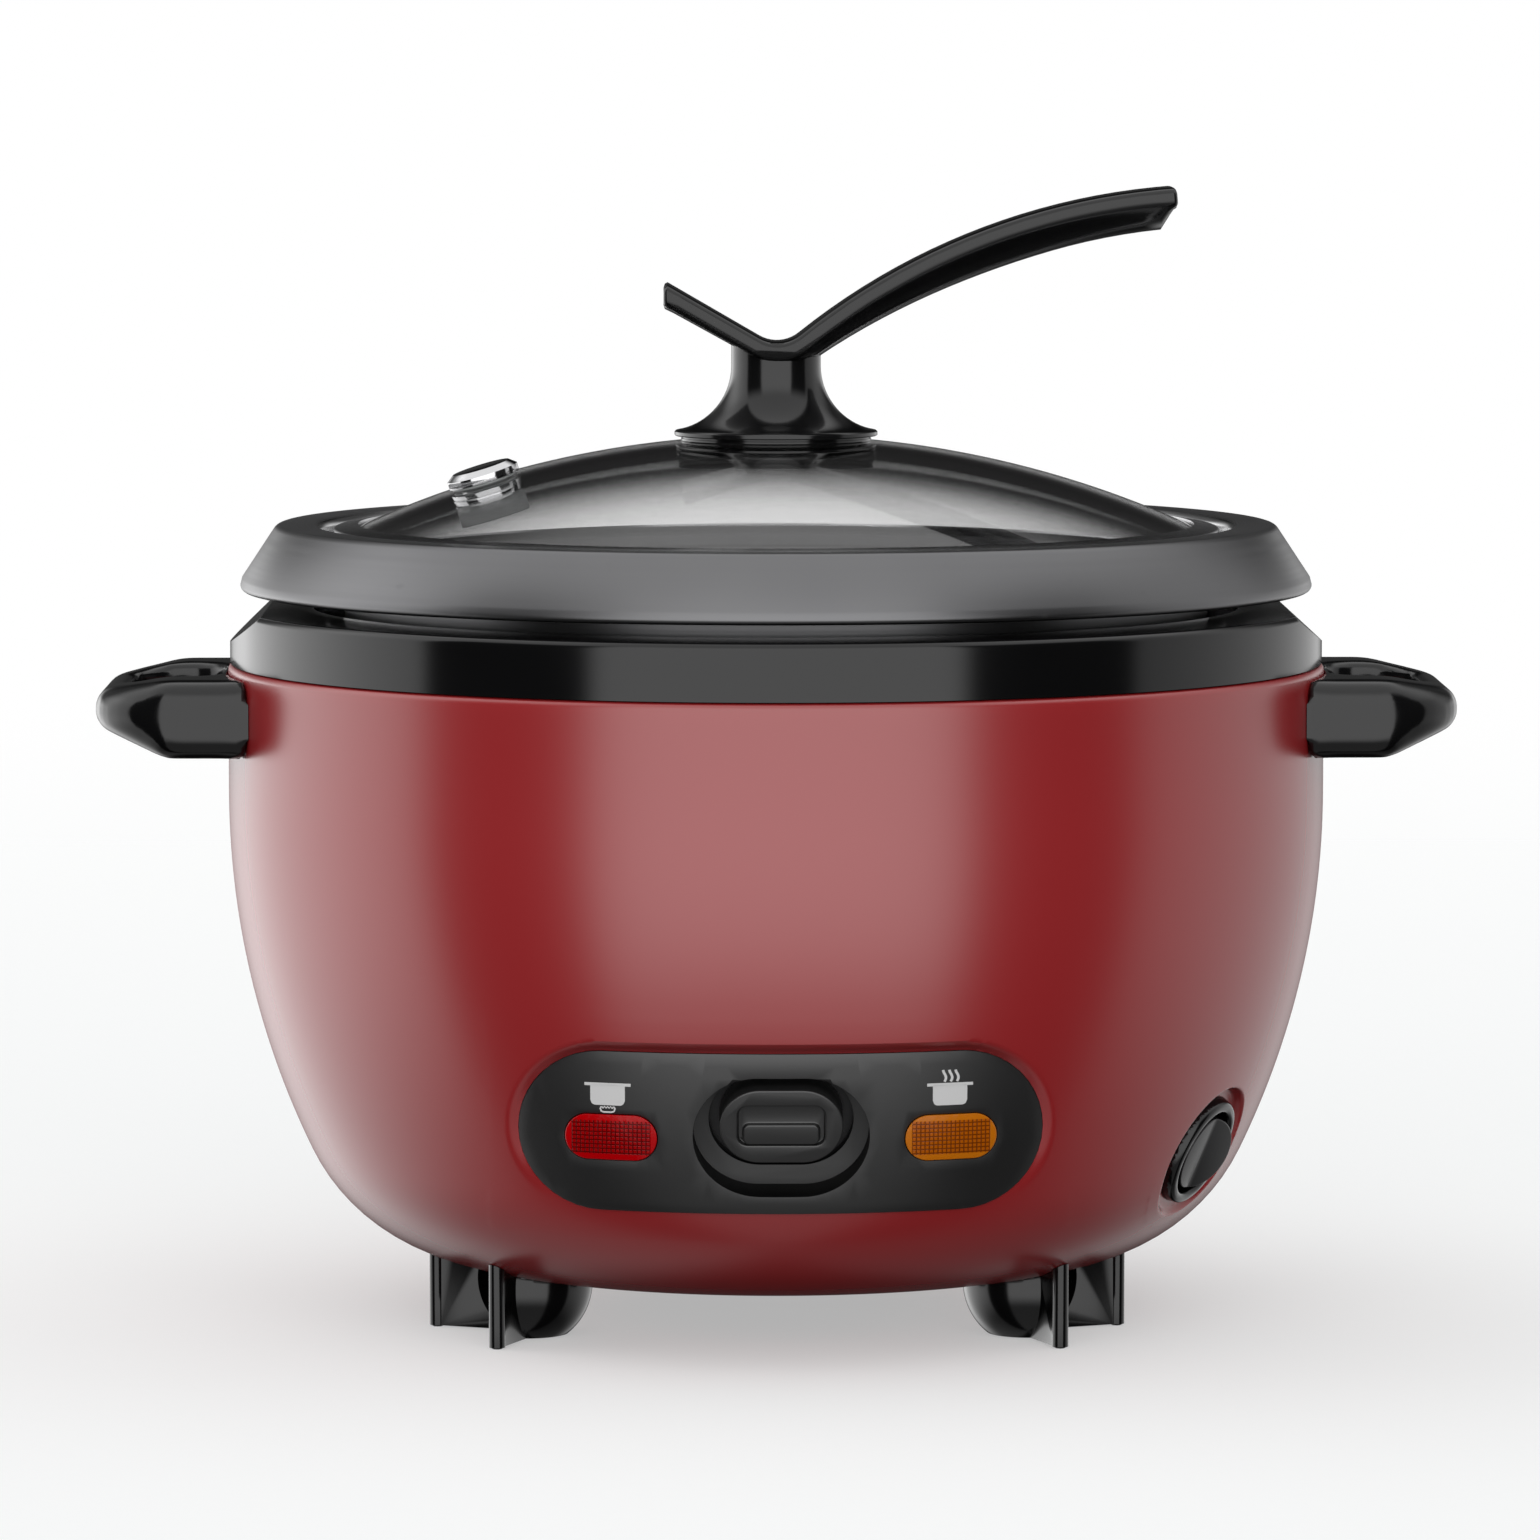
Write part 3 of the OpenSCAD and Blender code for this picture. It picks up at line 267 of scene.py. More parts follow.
# %% The dishes for the panel and the switch
PANEL_W = 100.2
PANEL_H = 31.7
PANEL_Z = 48.15
PANEL_INSET = 0.8
PANEL_UPRIGHT = math.tan(math.radians(5.4))  # the plate stands this much steeper than the shell
PANEL_LIP = 2.3  # width of the soft step round the panel
PANEL_REST = 0.5  # the shell lies this much under the panel's face
HOLLOW_W = 33.6
HOLLOW_H = 25.1
SWITCH_TURN = math.radians(-27.7)
SWITCH_Z = 37.0
BEZEL_R = 11.75
POCKET_R = BEZEL_R + 2.4
NEAR = 6.0  # the mesh is refined this far round the panel
POCKET_DEPTH = 2.8
SWITCH_SINK = 1.7  # the bezel and the rocker sit this much deeper than in CAD


def panel_depth(z):
    """How deep the panel's face lies under the shell: its top is sunk, its foot stands proud."""
    return PANEL_INSET + PANEL_UPRIGHT * (z - PANEL_Z)


def ramp(value, low, high):
    """A smooth step from 0 at low to 1 at high."""
    t = min(1, max(0, (value - low) / (high - low)))
    return t * t * (3 - 2 * t)


def stadium_distance(x, y, w, h):
    """How far a point is outside a flat shape with round ends, negative inside."""
    side = max(0, abs(x) - (w - h) / 2)
    return math.hypot(side, y) - h / 2


def round_body(radius, turn, z):
    """A point at that radius, turn and height."""
    return Vector((radius * math.cos(turn), radius * math.sin(turn), z))


lean = shell_lean(SWITCH_Z)
switch_out = Vector((math.cos(lean), 0, -math.sin(lean)))
switch_out.rotate(Matrix.Rotation(SWITCH_TURN, 3, "Z"))
switch_middle = round_body(shell_r(SWITCH_Z), SWITCH_TURN, SWITCH_Z)


def on_outer_wall(co):
    """Whether a point of the mesh, in metres, is on the shell's outside."""
    return math.hypot(co.x, co.y) / MM > shell_r(co.z / MM, 0.5) and co.z / MM < SHELL_TOP - LIP_R


def near_panel(co):
    beside = abs(co.x / MM) < PANEL_W / 2 + NEAR and abs(co.z / MM - PANEL_Z) < PANEL_H / 2 + NEAR + 1
    return co.y < 0 and beside and math.hypot(co.x, co.y) / MM > shell_r(co.z / MM, SHELL_WALL + 0.5)


def near_switch(co):
    return (co / MM - switch_middle).length < POCKET_R + 4.0


def near_either(co):
    return near_panel(co) or near_switch(co)


refine(shell, near_either, 3)
refine(shell, near_switch, 1)
for v in shell.data.vertices:
    if not near_either(v.co):
        continue
    z = v.co.z / MM
    wall = 0 if on_outer_wall(v.co) else SHELL_WALL
    across = stadium_distance(v.co.x / MM, z - PANEL_Z, PANEL_W, PANEL_H)
    stepped = 1 - ramp(across, -0.3, PANEL_LIP) if v.co.y < 0 else 0
    inward = max(0, panel_depth(z) + PANEL_REST) * stepped * math.cos(shell_lean(z))
    spot = round_body(shell_r(z, wall) - inward, math.atan2(v.co.y, v.co.x), z)
    arm = spot - switch_middle
    out = arm.dot(switch_out)
    side = (arm - switch_out * out).length
    if side < POCKET_R + 2 and near_switch(v.co):
        sunk = 1 - ramp(side, POCKET_R - 1.0, POCKET_R + 0.5)
        spot -= switch_out * max(0, out + POCKET_DEPTH + wall) * sunk
    v.co = spot * MM
print("shell faces after the dishes:", len(shell.data.polygons))

# %% [markdown]
# The openings have to be real, because the panel, the switch and the inlet pass through the wall.
# Each is cut with the outline of the piece that goes in, with the seat gap around it.

# %% The openings in the shell
def stadium_points(w, h):
    """Outline of a flat shape with round ends, as (across, up) points in millimetres."""
    r = h / 2
    return arc(w / 2 - r, 0, r, -90, 90, 20) + arc(r - w / 2, 0, r, 90, 270, 20)


def cut_opening(piece, name, points, depth, axes, middle):
    """Cuts a straight opening: its outline lies along the first two axes, its depth along the third."""
    cutter = fresh(bpy.ops.mesh.primitive_circle_add, name, vertices=len(points), radius=MM,
                   fill_type="NGON")
    for v, (x, y) in zip(cutter.data.vertices, points):
        v.co = (x * MM, y * MM, 0)
    edit(cutter)
    bpy.ops.mesh.extrude_region_move(TRANSFORM_OT_translate={"value": (0, 0, depth * MM)})
    bpy.ops.mesh.select_all(action="SELECT")
    leave_closed()
    cutter.matrix_world = Matrix.Translation(middle * MM) @ Matrix(axes).transposed().to_4x4()
    select_only(cutter)
    bpy.ops.object.transform_apply()
    modify(piece, "BOOLEAN", object=cutter, operation="DIFFERENCE", solver="MANIFOLD")
    bpy.data.objects.remove(cutter)


def circle_points(radius):
    return arc(0, 0, radius, 0, 360, 48)[:-1]


X, Y, Z = Vector((1, 0, 0)), Vector((0, 1, 0)), Vector((0, 0, 1))
THROUGH = 80.0  # reaches from inside the body to outside it
panel_outline = stadium_points(PANEL_W + 2 * SEAT, PANEL_H + 2 * SEAT)
cut_opening(shell, "panel_opening", panel_outline, THROUGH, (X, Z, -Y), Vector((0, -50, PANEL_Z)))

BEZEL_LIP = 1.5  # how far the bezel's rim covers the edge of its hole
switch_up = (Z - switch_out * Z.dot(switch_out)).normalized()
switch_axes = (switch_up.cross(switch_out), switch_up, switch_out)
cut_opening(shell, "switch_opening", circle_points(BEZEL_R - BEZEL_LIP + SEAT), 30, switch_axes,
            switch_middle - 20 * switch_out)

inlet_lo, inlet_hi = foot_of("power_inlet"), top_of("power_inlet")
left, right = inlet_lo.x - SEAT, inlet_hi.x + SEAT
low, high = inlet_lo.z - SEAT, inlet_hi.z + SEAT
inlet_outline = [(left, low), (right, low), (right, high), (left, high)]
cut_opening(shell, "inlet_opening", inlet_outline, THROUGH, (X, Z, -Y), Vector((0, inlet_hi.y + 30, 0)))
smooth(shell, 30)
place(shell, "cooker_body", "red_shell", "outer_shell")

# %% [markdown]
# The black ring closes the top of the body. It is an upright band with a rounded top edge, and a flat
# relief for the fingers slopes across it at each side. The band is turned hollow. A bisect draws the
# crease of each relief round the band, and the points beyond it move in to the sloping plane.

# %% The ring
RING_R = BODY_R - 0.4
RING_TOP = top_of("upper_ring").z
RING_FOOT = foot_of("upper_ring").z
RING_INNER = 92.4
RING_WALL = 2.0
RING_ROUND = 1.4
SPIGOT_R = BODY_R - SHELL_WALL - 0.3
RELIEF_START = 4.1
RELIEF_SLOPE = math.radians(42)

RING_SHELF = 1.6  # thickness of the flat top
INNER_ROUND = 0.8
SPIGOT_INNER = SPIGOT_R - RING_WALL
HOLLOW_R = RING_R - RING_WALL

band_foot = SHELL_TOP + SEAT
band_top = RING_TOP - RING_ROUND
upright = [(RING_R, band_foot + i * (band_top - band_foot) / 6) for i in range(6)]
ring_outline = ([(SPIGOT_INNER, RING_FOOT), (SPIGOT_R, RING_FOOT), (SPIGOT_R, band_foot)] + upright
                + arc(RING_R - RING_ROUND, band_top, RING_ROUND, 0, 90, 6)
                + [(RING_INNER + 4, RING_TOP)]
                + arc(RING_INNER + INNER_ROUND, RING_TOP - INNER_ROUND, INNER_ROUND, 90, 180, 4)
                + [(RING_INNER, RING_TOP - RING_SHELF), (HOLLOW_R - 1, RING_TOP - RING_SHELF),
                   (HOLLOW_R, RING_TOP - RING_SHELF - 1), (HOLLOW_R, SHELL_TOP + 3),
                   (SPIGOT_INNER, SHELL_TOP + 1)])
ring = turned("upper_ring_band", ring_outline, sides=256)


def in_hollow(co):
    """Whether a point of the ring is on the inside of its wall."""
    return math.hypot(co.x, co.y) / MM < HOLLOW_R + 0.05 and co.z / MM < RING_TOP - RING_SHELF + 0.1


def relief(piece, side):
    """Flattens what is beyond the sloping plane on one side, and keeps the wall under it."""
    normal = Vector((side * math.sin(RELIEF_SLOPE), 0, math.cos(RELIEF_SLOPE)))
    on_plane = Vector((side * RING_R, 0, SHELL_TOP + RELIEF_START))
    edit(piece)
    bpy.ops.mesh.bisect(plane_co=on_plane * MM, plane_no=normal, threshold=1e-7)
    leave_edit()
    for v in piece.data.vertices:
        beyond = (v.co / MM - on_plane).dot(normal) + (RING_WALL if in_hollow(v.co) else 0)
        if beyond > 0.001 and side * v.co.x > 0:
            v.co.x -= side * beyond / math.sin(RELIEF_SLOPE) * MM


for side in (-1, 1):
    relief(ring, side)
smooth(ring, 30)
place(ring, "cooker_body", "black_plastic", "upper_ring")

# %% [markdown]
# Each side handle is one hollow moulding, rounded all over. A bevel would only round its edges, so the
# copy is remeshed evenly and smoothed, and its root on the shell is kept. The feet are small bowls with
# fins, and stay crisp: each is a softened copy of its node.

# %% The handles and the feet
HANDLE_GRAIN = 1.0  # size of the remeshed faces
ROOT = 1.0  # what is this near the shell stays as it is
ROOT_FADE = 4.0


def rounded_handle(side):
    """Remeshes the handle finely and smooths it, and leaves its root on the shell as it is."""
    piece = merged_copy("side_handle_" + side, "handle_" + side)
    modify(piece, "REMESH", mode="VOXEL", voxel_size=HANDLE_GRAIN * MM)
    free = piece.vertex_groups.new(name="free")
    for v in piece.data.vertices:
        out = math.hypot(v.co.x, v.co.y) / MM - BODY_R
        free.add([v.index], ramp(out, ROOT, ROOT + ROOT_FADE), "REPLACE")
    modify(piece, "SMOOTH", vertex_group="free", factor=0.6, iterations=14)
    smooth(piece, 60)
    return piece


for side in ("left", "right"):
    place(rounded_handle(side), "cooker_body", "black_plastic", "side_handle_" + side)
for where in ("left", "right", "rear"):
    foot = softened("foot_" + where, "standing_foot_" + where, 0.3, smooth_angle=55)
    place(foot, "cooker_body", "black_plastic", "foot_" + where)

# %% [markdown]
# The control panel is a pill-shaped plate, with a deep hollow round the button and a window for each
# lamp. The button has a raised rim round a sunk pocket and a bar for the finger. All of them, and the
# power switch's bezel and rocker, could be built anew, but their CAD outlines are right. So each is a
# softened copy: the panel's face is then turned upright, and the switch is sunk into its pocket.

# %% The panel, the button and the power switch
def stand_upright(piece, deepest):
    """Turns the face of a panel piece more upright; the parts deeper than that stay."""
    for v in piece.data.vertices:
        z = v.co.z / MM
        if math.hypot(v.co.x, v.co.y) / MM > shell_r(z, deepest):
            v.co.y += (panel_depth(z) - PANEL_INSET) * MM


FACE_DEPTH = 3.3  # the face, with its windows, ends this deep under the shell
panel = softened("control_panel", "panel_plate", 0.7)
stand_upright(panel, FACE_DEPTH)
place(panel, "cooker_body", "black_plastic", "control_panel", look="panel_plastic")
button = softened("cook_button", "press_button", 0.3)
place(button, "cook_button", "black_plastic", "cook_button", look="panel_plastic")
for node, slot in (("cook_lamp_lens", "red_lens"), ("warm_lamp_lens", "amber_lens")):
    lens = softened(node, node + "_window", 0.25)
    stand_upright(lens, FACE_DEPTH)
    place(lens, "cooker_body", slot, node)
bezel = softened("switch_bezel", "switch_ring", 0.9, smooth_angle=50)
place(bezel, "cooker_body", "black_plastic", "switch_bezel")
rocker = softened("power_rocker", "switch_rocker", 0.3)
for piece in (bezel, rocker):
    edit(piece)
    bpy.ops.transform.translate(value=-switch_out * SWITCH_SINK * MM)
    leave_edit()
ROCKER_SLACK = 0.955  # smaller, so that it turns freely in the sunk bezel
rocker_middle = sum((v.co for v in rocker.data.vertices), Vector()) / len(rocker.data.vertices)
for v in rocker.data.vertices:
    v.co = rocker_middle + (v.co - rocker_middle) * ROCKER_SLACK
place(rocker, "power_rocker", "rocker_plastic", "power_rocker")

# %% [markdown]
# The pot is one spun aluminium piece: a bowl, a ledge that carries the lid, and a rim that rolls over
# into a sloping skirt with a bead. Two low beads run round inside, under the ledge. It is turned as a
# closed outline, so the wall has its thickness.

# %% The pot
POT_R = 86.4
POT_WALL = 1.4
POT_CORNER = 18.0
POT_FLOOR = foot_of("inner_pot").z
POT_TOP = top_of("inner_pot").z
SKIRT_R = top_of("inner_pot").x
RIM_R = BODY_R - 9.4
SKIRT_H = 11.1
LEDGE_Z = POT_TOP - 8.5
LEDGE_R = POT_R + 3
POT_INNER = POT_R - POT_WALL
wall_heights = (90, 110, 130)
beads = ((9, 0), (8.2, -0.5), (7.0, -0.5), (6.2, 0), (4.6, 0), (4.0, -0.4), (3.2, -0.4), (2.6, 0), (1, 0))

pot_inside = ([(0, POT_FLOOR + POT_WALL)]
              + arc(POT_R - POT_CORNER, POT_FLOOR + POT_CORNER, POT_CORNER - POT_WALL, -90, 0, 12)
              + [(POT_INNER, z) for z in wall_heights]
              + [(POT_INNER + side, LEDGE_Z - drop) for drop, side in beads])
pot_rim = ([(POT_INNER + 0.4, LEDGE_Z), (LEDGE_R, LEDGE_Z + 0.01), (LEDGE_R + 0.3, LEDGE_Z + 0.5),
            (LEDGE_R + 1.4, POT_TOP - 2.6)]
           + arc(LEDGE_R + 3.4, POT_TOP - 2.0, 2.0, 165, 90, 5)
           + arc(RIM_R - 1.4, POT_TOP - 1.9, 1.9, 90, 33, 5)
           + [(SKIRT_R - 0.35, POT_TOP - SKIRT_H + 0.6)]
           + arc(SKIRT_R - 1.1, POT_TOP - SKIRT_H - 0.9, 1.1, 25, -120, 8)
           + [(SKIRT_R - 2.4, POT_TOP - SKIRT_H - 1.0), (RIM_R - 1.2, POT_TOP - 2.1 - 1.2),
              (LEDGE_R + 3.8, POT_TOP - 2.3), (LEDGE_R + 2.8, POT_TOP - 3.2),
              (LEDGE_R + 1.2, LEDGE_Z - POT_WALL + 0.5), (LEDGE_R + 0.5, LEDGE_Z - POT_WALL)])
pot_outside = ([(POT_R, LEDGE_Z - POT_WALL)]
               + [(POT_R, z) for z in wall_heights[::-1]]
               + arc(POT_R - POT_CORNER, POT_FLOOR + POT_CORNER, POT_CORNER, 0, -90, 12)
               + [(0, POT_FLOOR)])
pot = turned("cooking_pot", pot_inside + pot_rim + pot_outside, sides=224)
smooth(pot, 30)
place(pot, "pot", "pot_metal", "inner_pot")

# %% [markdown]
# The lid is a shallow glass dome in a thin steel rim. The dome is turned from two arcs about one
# centre, so the glass has an even thickness and bends light as real glass does.

# %% The dome and its rim
DOME_R = 201.1
GLASS_T = 4.0
KNOB_HOLE_R = 3.4
VENT_HOLE_R = 5.0
VENT_SLOPE = math.radians(17)
VENT_TURN = math.radians(190)
LID_R = top_of("lid_rim").x
GLASS_R = LID_R - 2.2
LID_BASE = foot_of("lid_rim").z
GLASS_EDGE_Z = LID_BASE + 6
DOME_CZ = GLASS_EDGE_Z - math.sqrt(DOME_R ** 2 - GLASS_R ** 2)
APEX = DOME_CZ + DOME_R


def dome_arc(radius, from_r, to_r, steps):
    start, end = (math.degrees(math.acos(r / radius)) for r in (from_r, to_r))
    return arc(0, DOME_CZ, radius, start, end, steps)


dome = turned("glass_lid", dome_arc(DOME_R, KNOB_HOLE_R, GLASS_R - 0.4, 40)
              + dome_arc(DOME_R - GLASS_T, GLASS_R - 0.4, KNOB_HOLE_R, 40), sides=224)
vent_out = round_body(math.sin(VENT_SLOPE), VENT_TURN, math.cos(VENT_SLOPE))
vent_across = vent_out.cross(Z).normalized()
vent_axes = (vent_across, vent_out.cross(vent_across), vent_out)
cut_opening(dome, "vent_opening", circle_points(VENT_HOLE_R), 24, vent_axes,
            Vector((0, 0, DOME_CZ)) + (DOME_R - 12) * vent_out)
smooth(dome, 30)
place(dome, "lid", "dome_glass", "glass_dome")

round_glass = [(GLASS_R - inward, GLASS_EDGE_Z + rise) for inward, rise in
               ((3, 2.2), (3.1, 1.6), (0.2, 0.2), (0.2, -3.6), (3, -2.4))]
rim_outline = ([(LID_R - 0.6, LID_BASE)] + arc(LID_R - 0.6, LID_BASE + 0.6, 0.6, -90, 0, 4)
               + arc(LID_R - 1.1, GLASS_EDGE_Z + 0.5, 1.1, 0, 70, 5) + round_glass
               + [(GLASS_R - 3, LID_BASE + 0.6), (GLASS_R - 2.4, LID_BASE)])
rim = turned("steel_rim", rim_outline, sides=224)
smooth(rim, 30)
place(rim, "lid", "steel", "lid_rim")

# %% [markdown]
# The knob stands on a grooved collar and a thin flange, with a waisted stem above. All three are one
# turned moulding. A turned disc with a grooved edge clamps it from below, and follows the glass.

# %% The stem and its clamp
STEM_R = 8.9
STEM_H = 14.1
FLARE_R = 13.0
FLANGE_R = top_of("lid_stem").x
COLLAR_R = FLANGE_R - 1.3
STEM_TOP = APEX + STEM_H
FLANGE_FOOT = APEX + 0.1
FLANGE_TOP = APEX + 1.2
POST_TOP = STEM_TOP + 4.3  # the stem runs up to the grip's underside
FIXING_R = 2.6  # bore of the stem, and the wider one at its top
SOCKET_R = 4.2
CLAMP_R = 19.5
NOTCH_R = CLAMP_R - 0.4


def along_glass(radius, r):
    """A point of a section at radius r, on a sphere about the dome's centre."""
    return (r, DOME_CZ + math.sqrt(radius ** 2 - r ** 2))


foot = [along_glass(DOME_R + 0.15, r) for r in (FIXING_R, 10, COLLAR_R)]
groove = []
for step in range(2):
    z = foot[-1][1] + 0.1 + step * 0.5
    groove += [(COLLAR_R, z), (COLLAR_R, z + 0.26), (COLLAR_R - 0.3, z + 0.32), (COLLAR_R - 0.3, z + 0.44)]
flange = [(COLLAR_R, FLANGE_FOOT), (FLANGE_R - 0.2, FLANGE_FOOT), (FLANGE_R, FLANGE_FOOT + 0.2),
          (FLANGE_R, FLANGE_TOP - 0.25), (FLANGE_R - 0.3, FLANGE_TOP)]
flare = arc(STEM_R + FLARE_R, FLANGE_TOP + 12.86, FLARE_R, 261, 180, 18)
waist = [(r + 0.05, z) for r, z in flare if r < FLANGE_R - 0.6]
post = [(STEM_R + 0.05, POST_TOP - 0.3), (STEM_R - 0.3, POST_TOP), (SOCKET_R, POST_TOP),
        (SOCKET_R, STEM_TOP - 4.2), (FIXING_R, STEM_TOP - 4.4)]
stem = turned("knob_stem", foot + groove + flange + waist + post, sides=128)
smooth(stem, 32)
place(stem, "lid", "black_plastic", "lid_stem")

section = []
for r, drop in ((0, 0.1), (10, 0.1), (CLAMP_R, 0.1), (CLAMP_R, 0.5), (NOTCH_R, 0.6), (NOTCH_R, 0.9),
                (CLAMP_R, 1.0), (CLAMP_R, 1.3), (NOTCH_R, 1.5), (6, 1.6), (5.4, 2.6), (0, 2.8)):
    section.append((r, along_glass(DOME_R - GLASS_T, r)[1] - drop))
clamp = turned("clamp_disc", section, sides=128)
smooth(clamp, 32)
place(clamp, "lid", "seal", "clamp_washer", "lid_screw")

# %% [markdown]
# Under the pot a steel coil holds the sensor cap up. It could be wound anew, but the CAD coil is right,
# so it is a merged copy. The vent is a polished cap on a clear
# collar, from its CAD nodes with soft edges.

# %% The sensor coil and the vent
coil = merged_copy("sensor_spring", "sensor_coil")
smooth(coil, 50)
place(coil, "cooker_body", "steel", "sensor_spring")
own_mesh(coil)
place(softened("vent_cap", "vent_button", 0.3), "lid", "vent_metal", "vent_cap")
place(softened("vent_grommet", "vent_collar_ring", 0.2), "lid", "vent_collar", "vent_grommet")

# %% [markdown]
# The grip is one free-form wing, swept along a short straight wing, a tight hollow and a long arch. A
# merged copy of the CAD mesh keeps that sweep. Its short wing is then drawn out to its full length, by
# a shift that grows along the wing, which keeps the section as it is and needs no new faces.

# %% The lid grip
grip = merged_copy("lid_grip", "wing_grip")
SHORT_RISE = math.radians(30)
SHORT_LONGER = 2.2  # the short wing reaches this much further than in CAD
SHIFT_FROM, SHIFT_FULL = 6.0, 20.0  # reach along the wing where the shift starts and is full
out_along = Vector((-math.cos(SHORT_RISE), 0, math.sin(SHORT_RISE)))
hollow_foot = Vector((0, 0, STEM_TOP + 4.6))
for v in grip.data.vertices:
    arm = v.co / MM - hollow_foot
    reach = arm.dot(out_along)
    if v.co.x < 0 and reach > SHIFT_FROM:
        v.co += out_along * SHORT_LONGER * ramp(reach, SHIFT_FROM, SHIFT_FULL) * MM
smooth(grip, 45)
place(grip, "lid", "black_plastic", "lid_grip")

# %% [markdown]
# Two printed signs stand on the panel: a pot over a heater by the cooking lamp, and a pot with steam
# by the keep-warm lamp. Each stroke is a thin strip, cut finely and laid onto the curved plate.

# %% The printed signs
SIGN_LIFT = 0.06
STROKE_STEP = 0.5  # longest straight piece of a stroke


def panel_point(x, z):
    """A point on the panel's face, lifted off it as the print is."""
    r = shell_r(z, PANEL_INSET - SIGN_LIFT)
    return Vector((x, panel_depth(z) - PANEL_INSET - math.sqrt(r * r - x * x), z)) * MM


def stroke(name, points, width):
    """A flat line of even width through points on the panel, given as (x, z) in millimetres."""
    path = [Vector((x, z, 0)) for x, z in points]
    fine = []
    for a, b in zip(path, path[1:]):
        count = max(1, int((b - a).length / STROKE_STEP))
        fine += [a + (b - a) * i / count for i in range(count)]
    fine.append(path[-1])
    last = len(fine) - 1
    piece = fresh(bpy.ops.mesh.primitive_grid_add, name, x_subdivisions=last, y_subdivisions=1, size=MM)
    columns = sorted(set(round(v.co.x, 9) for v in piece.data.vertices))
    for v in piece.data.vertices:
        i = columns.index(round(v.co.x, 9))
        along = (fine[min(i + 1, last)] - fine[max(i - 1, 0)]).normalized()
        aside = Vector((-along.y, along.x, 0)) * width / 2 * (1 if v.co.y > 0 else -1)
        spot = fine[i] + aside
        v.co = panel_point(spot.x, spot.y)
    return piece


def sign(name, parts):
    """Joins the parts of a sign into one piece that faces out of the panel."""
    piece = parts[0]
    select_only(piece)
    for part in parts:
        part.select_set(True)
    bpy.ops.object.join()
    piece.name = name
    edit(piece)
    leave_closed()
    if sum(face.normal.y for face in piece.data.polygons) > 0:
        edit(piece)
        bpy.ops.mesh.flip_normals()
        leave_edit()
    place(piece, "cooker_body", "pale_plastic", look="print_white")


def filled_bowl(middle):
    """A filled bowl: a fine grid whose lower edge follows the two rounded corners."""
    piece = fresh(bpy.ops.mesh.primitive_grid_add, "bowl", x_subdivisions=24, y_subdivisions=6, size=1)
    for v in piece.data.vertices:
        x = v.co.x * BOWL_W
        past = max(0, abs(x) - (BOWL_W / 2 - BOWL_CORNER))
        low = BRIM_Z - BOWL_H + BOWL_CORNER - math.sqrt(max(0, BOWL_CORNER ** 2 - past * past))
        v.co = panel_point(middle + x, low + (BRIM_Z - low) * (v.co.y + 0.5))
    return piece


COOKING_X = -33.0
WARMING_X = 32.1
BRIM_Z = 57.5
BRIM_HALF = 4.4
BOWL_W, BOWL_H, BOWL_CORNER = 6.6, 4.1, 1.0
HEATER_Z = BRIM_Z - BOWL_H - 0.25
half_heater = [(1.15, 0), (1.4, -0.4), (1.2, -0.95), (0.8, -1.1)]
heater = [(-x, z) for x, z in half_heater] + half_heater[::-1]
winding = [(-1.15 + 2.3 * i / 8, -0.35 if i % 2 else 0) for i in range(9)]
steam = [(0.28 * math.sin(4.6 * t), 2.3 * t) for t in [i / 12 for i in range(13)]]


def shifted(points, x, z):
    return [(px + x, pz + z) for px, pz in points]


def pot_sign(middle):
    return [filled_bowl(middle),
            stroke("brim", [(middle - BRIM_HALF, BRIM_Z), (middle + BRIM_HALF, BRIM_Z)], 0.6)]


sign("cooking_sign", pot_sign(COOKING_X)
     + [stroke("heater", shifted(heater, COOKING_X, HEATER_Z), 0.32),
        stroke("coil", shifted(winding, COOKING_X, HEATER_Z), 0.28)])
sign("warming_sign", pot_sign(WARMING_X)
     + [stroke("steam", shifted(steam, WARMING_X + aside, BRIM_Z + 0.55), 0.5)
        for aside in (-1.1, 0.1, 1.3)])

# %% [markdown]
# Finishes come next. Effects that several materials share are node groups, built once: a moulded
# grain, light scratches, wear along edges, dust on what faces up, and turning marks. Each gives only
# masks and heights, and each material feeds them to its own shader.

# %% Node helpers
def wire(tree, source, target):
    """Gives a socket what another socket puts out, or a number, or a colour."""
    if isinstance(source, bpy.types.NodeSocket):
        tree.links.new(source, target)
    else:
        target.default_value = (*source, 1) if isinstance(source, tuple) else source


def feed(tree, node, sources):
    """Wires sources to a node's inputs by name or number, and gives its outputs."""
    for key, source in sources.items():
        wire(tree, source, node.inputs[key])
    return node.outputs


def add(tree, kind, sources=None, **settings):
    """Adds a node with those settings and sources, and gives its outputs."""
    node = tree.nodes.new(kind)
    for key, value in settings.items():
        setattr(node, key, value)
    return feed(tree, node, sources or {})


def compute(tree, operation, *sources):
    return add(tree, "ShaderNodeMath", dict(enumerate(sources)), operation=operation)[0]


def product(tree, first, *others):
    for other in others:
        first = compute(tree, "MULTIPLY", first, other)
    return first


def total(tree, first, *others):
    for other in others:
        first = compute(tree, "ADD", first, other)
    return first


def remainder(tree, value):
    return compute(tree, "SUBTRACT", 1.0, value)


def spread(tree, value, from_lo, from_hi, to_lo=0.0, to_hi=1.0):
    """Maps one range to another with soft ends."""
    ends = {"Value": value, "From Min": from_lo, "From Max": from_hi, "To Min": to_lo, "To Max": to_hi}
    return add(tree, "ShaderNodeMapRange", ends, interpolation_type="SMOOTHSTEP")["Result"]


def mix_colour(tree, mask, a, b):
    return add(tree, "ShaderNodeMix", {0: mask, 6: a, 7: b}, data_type="RGBA")[2]


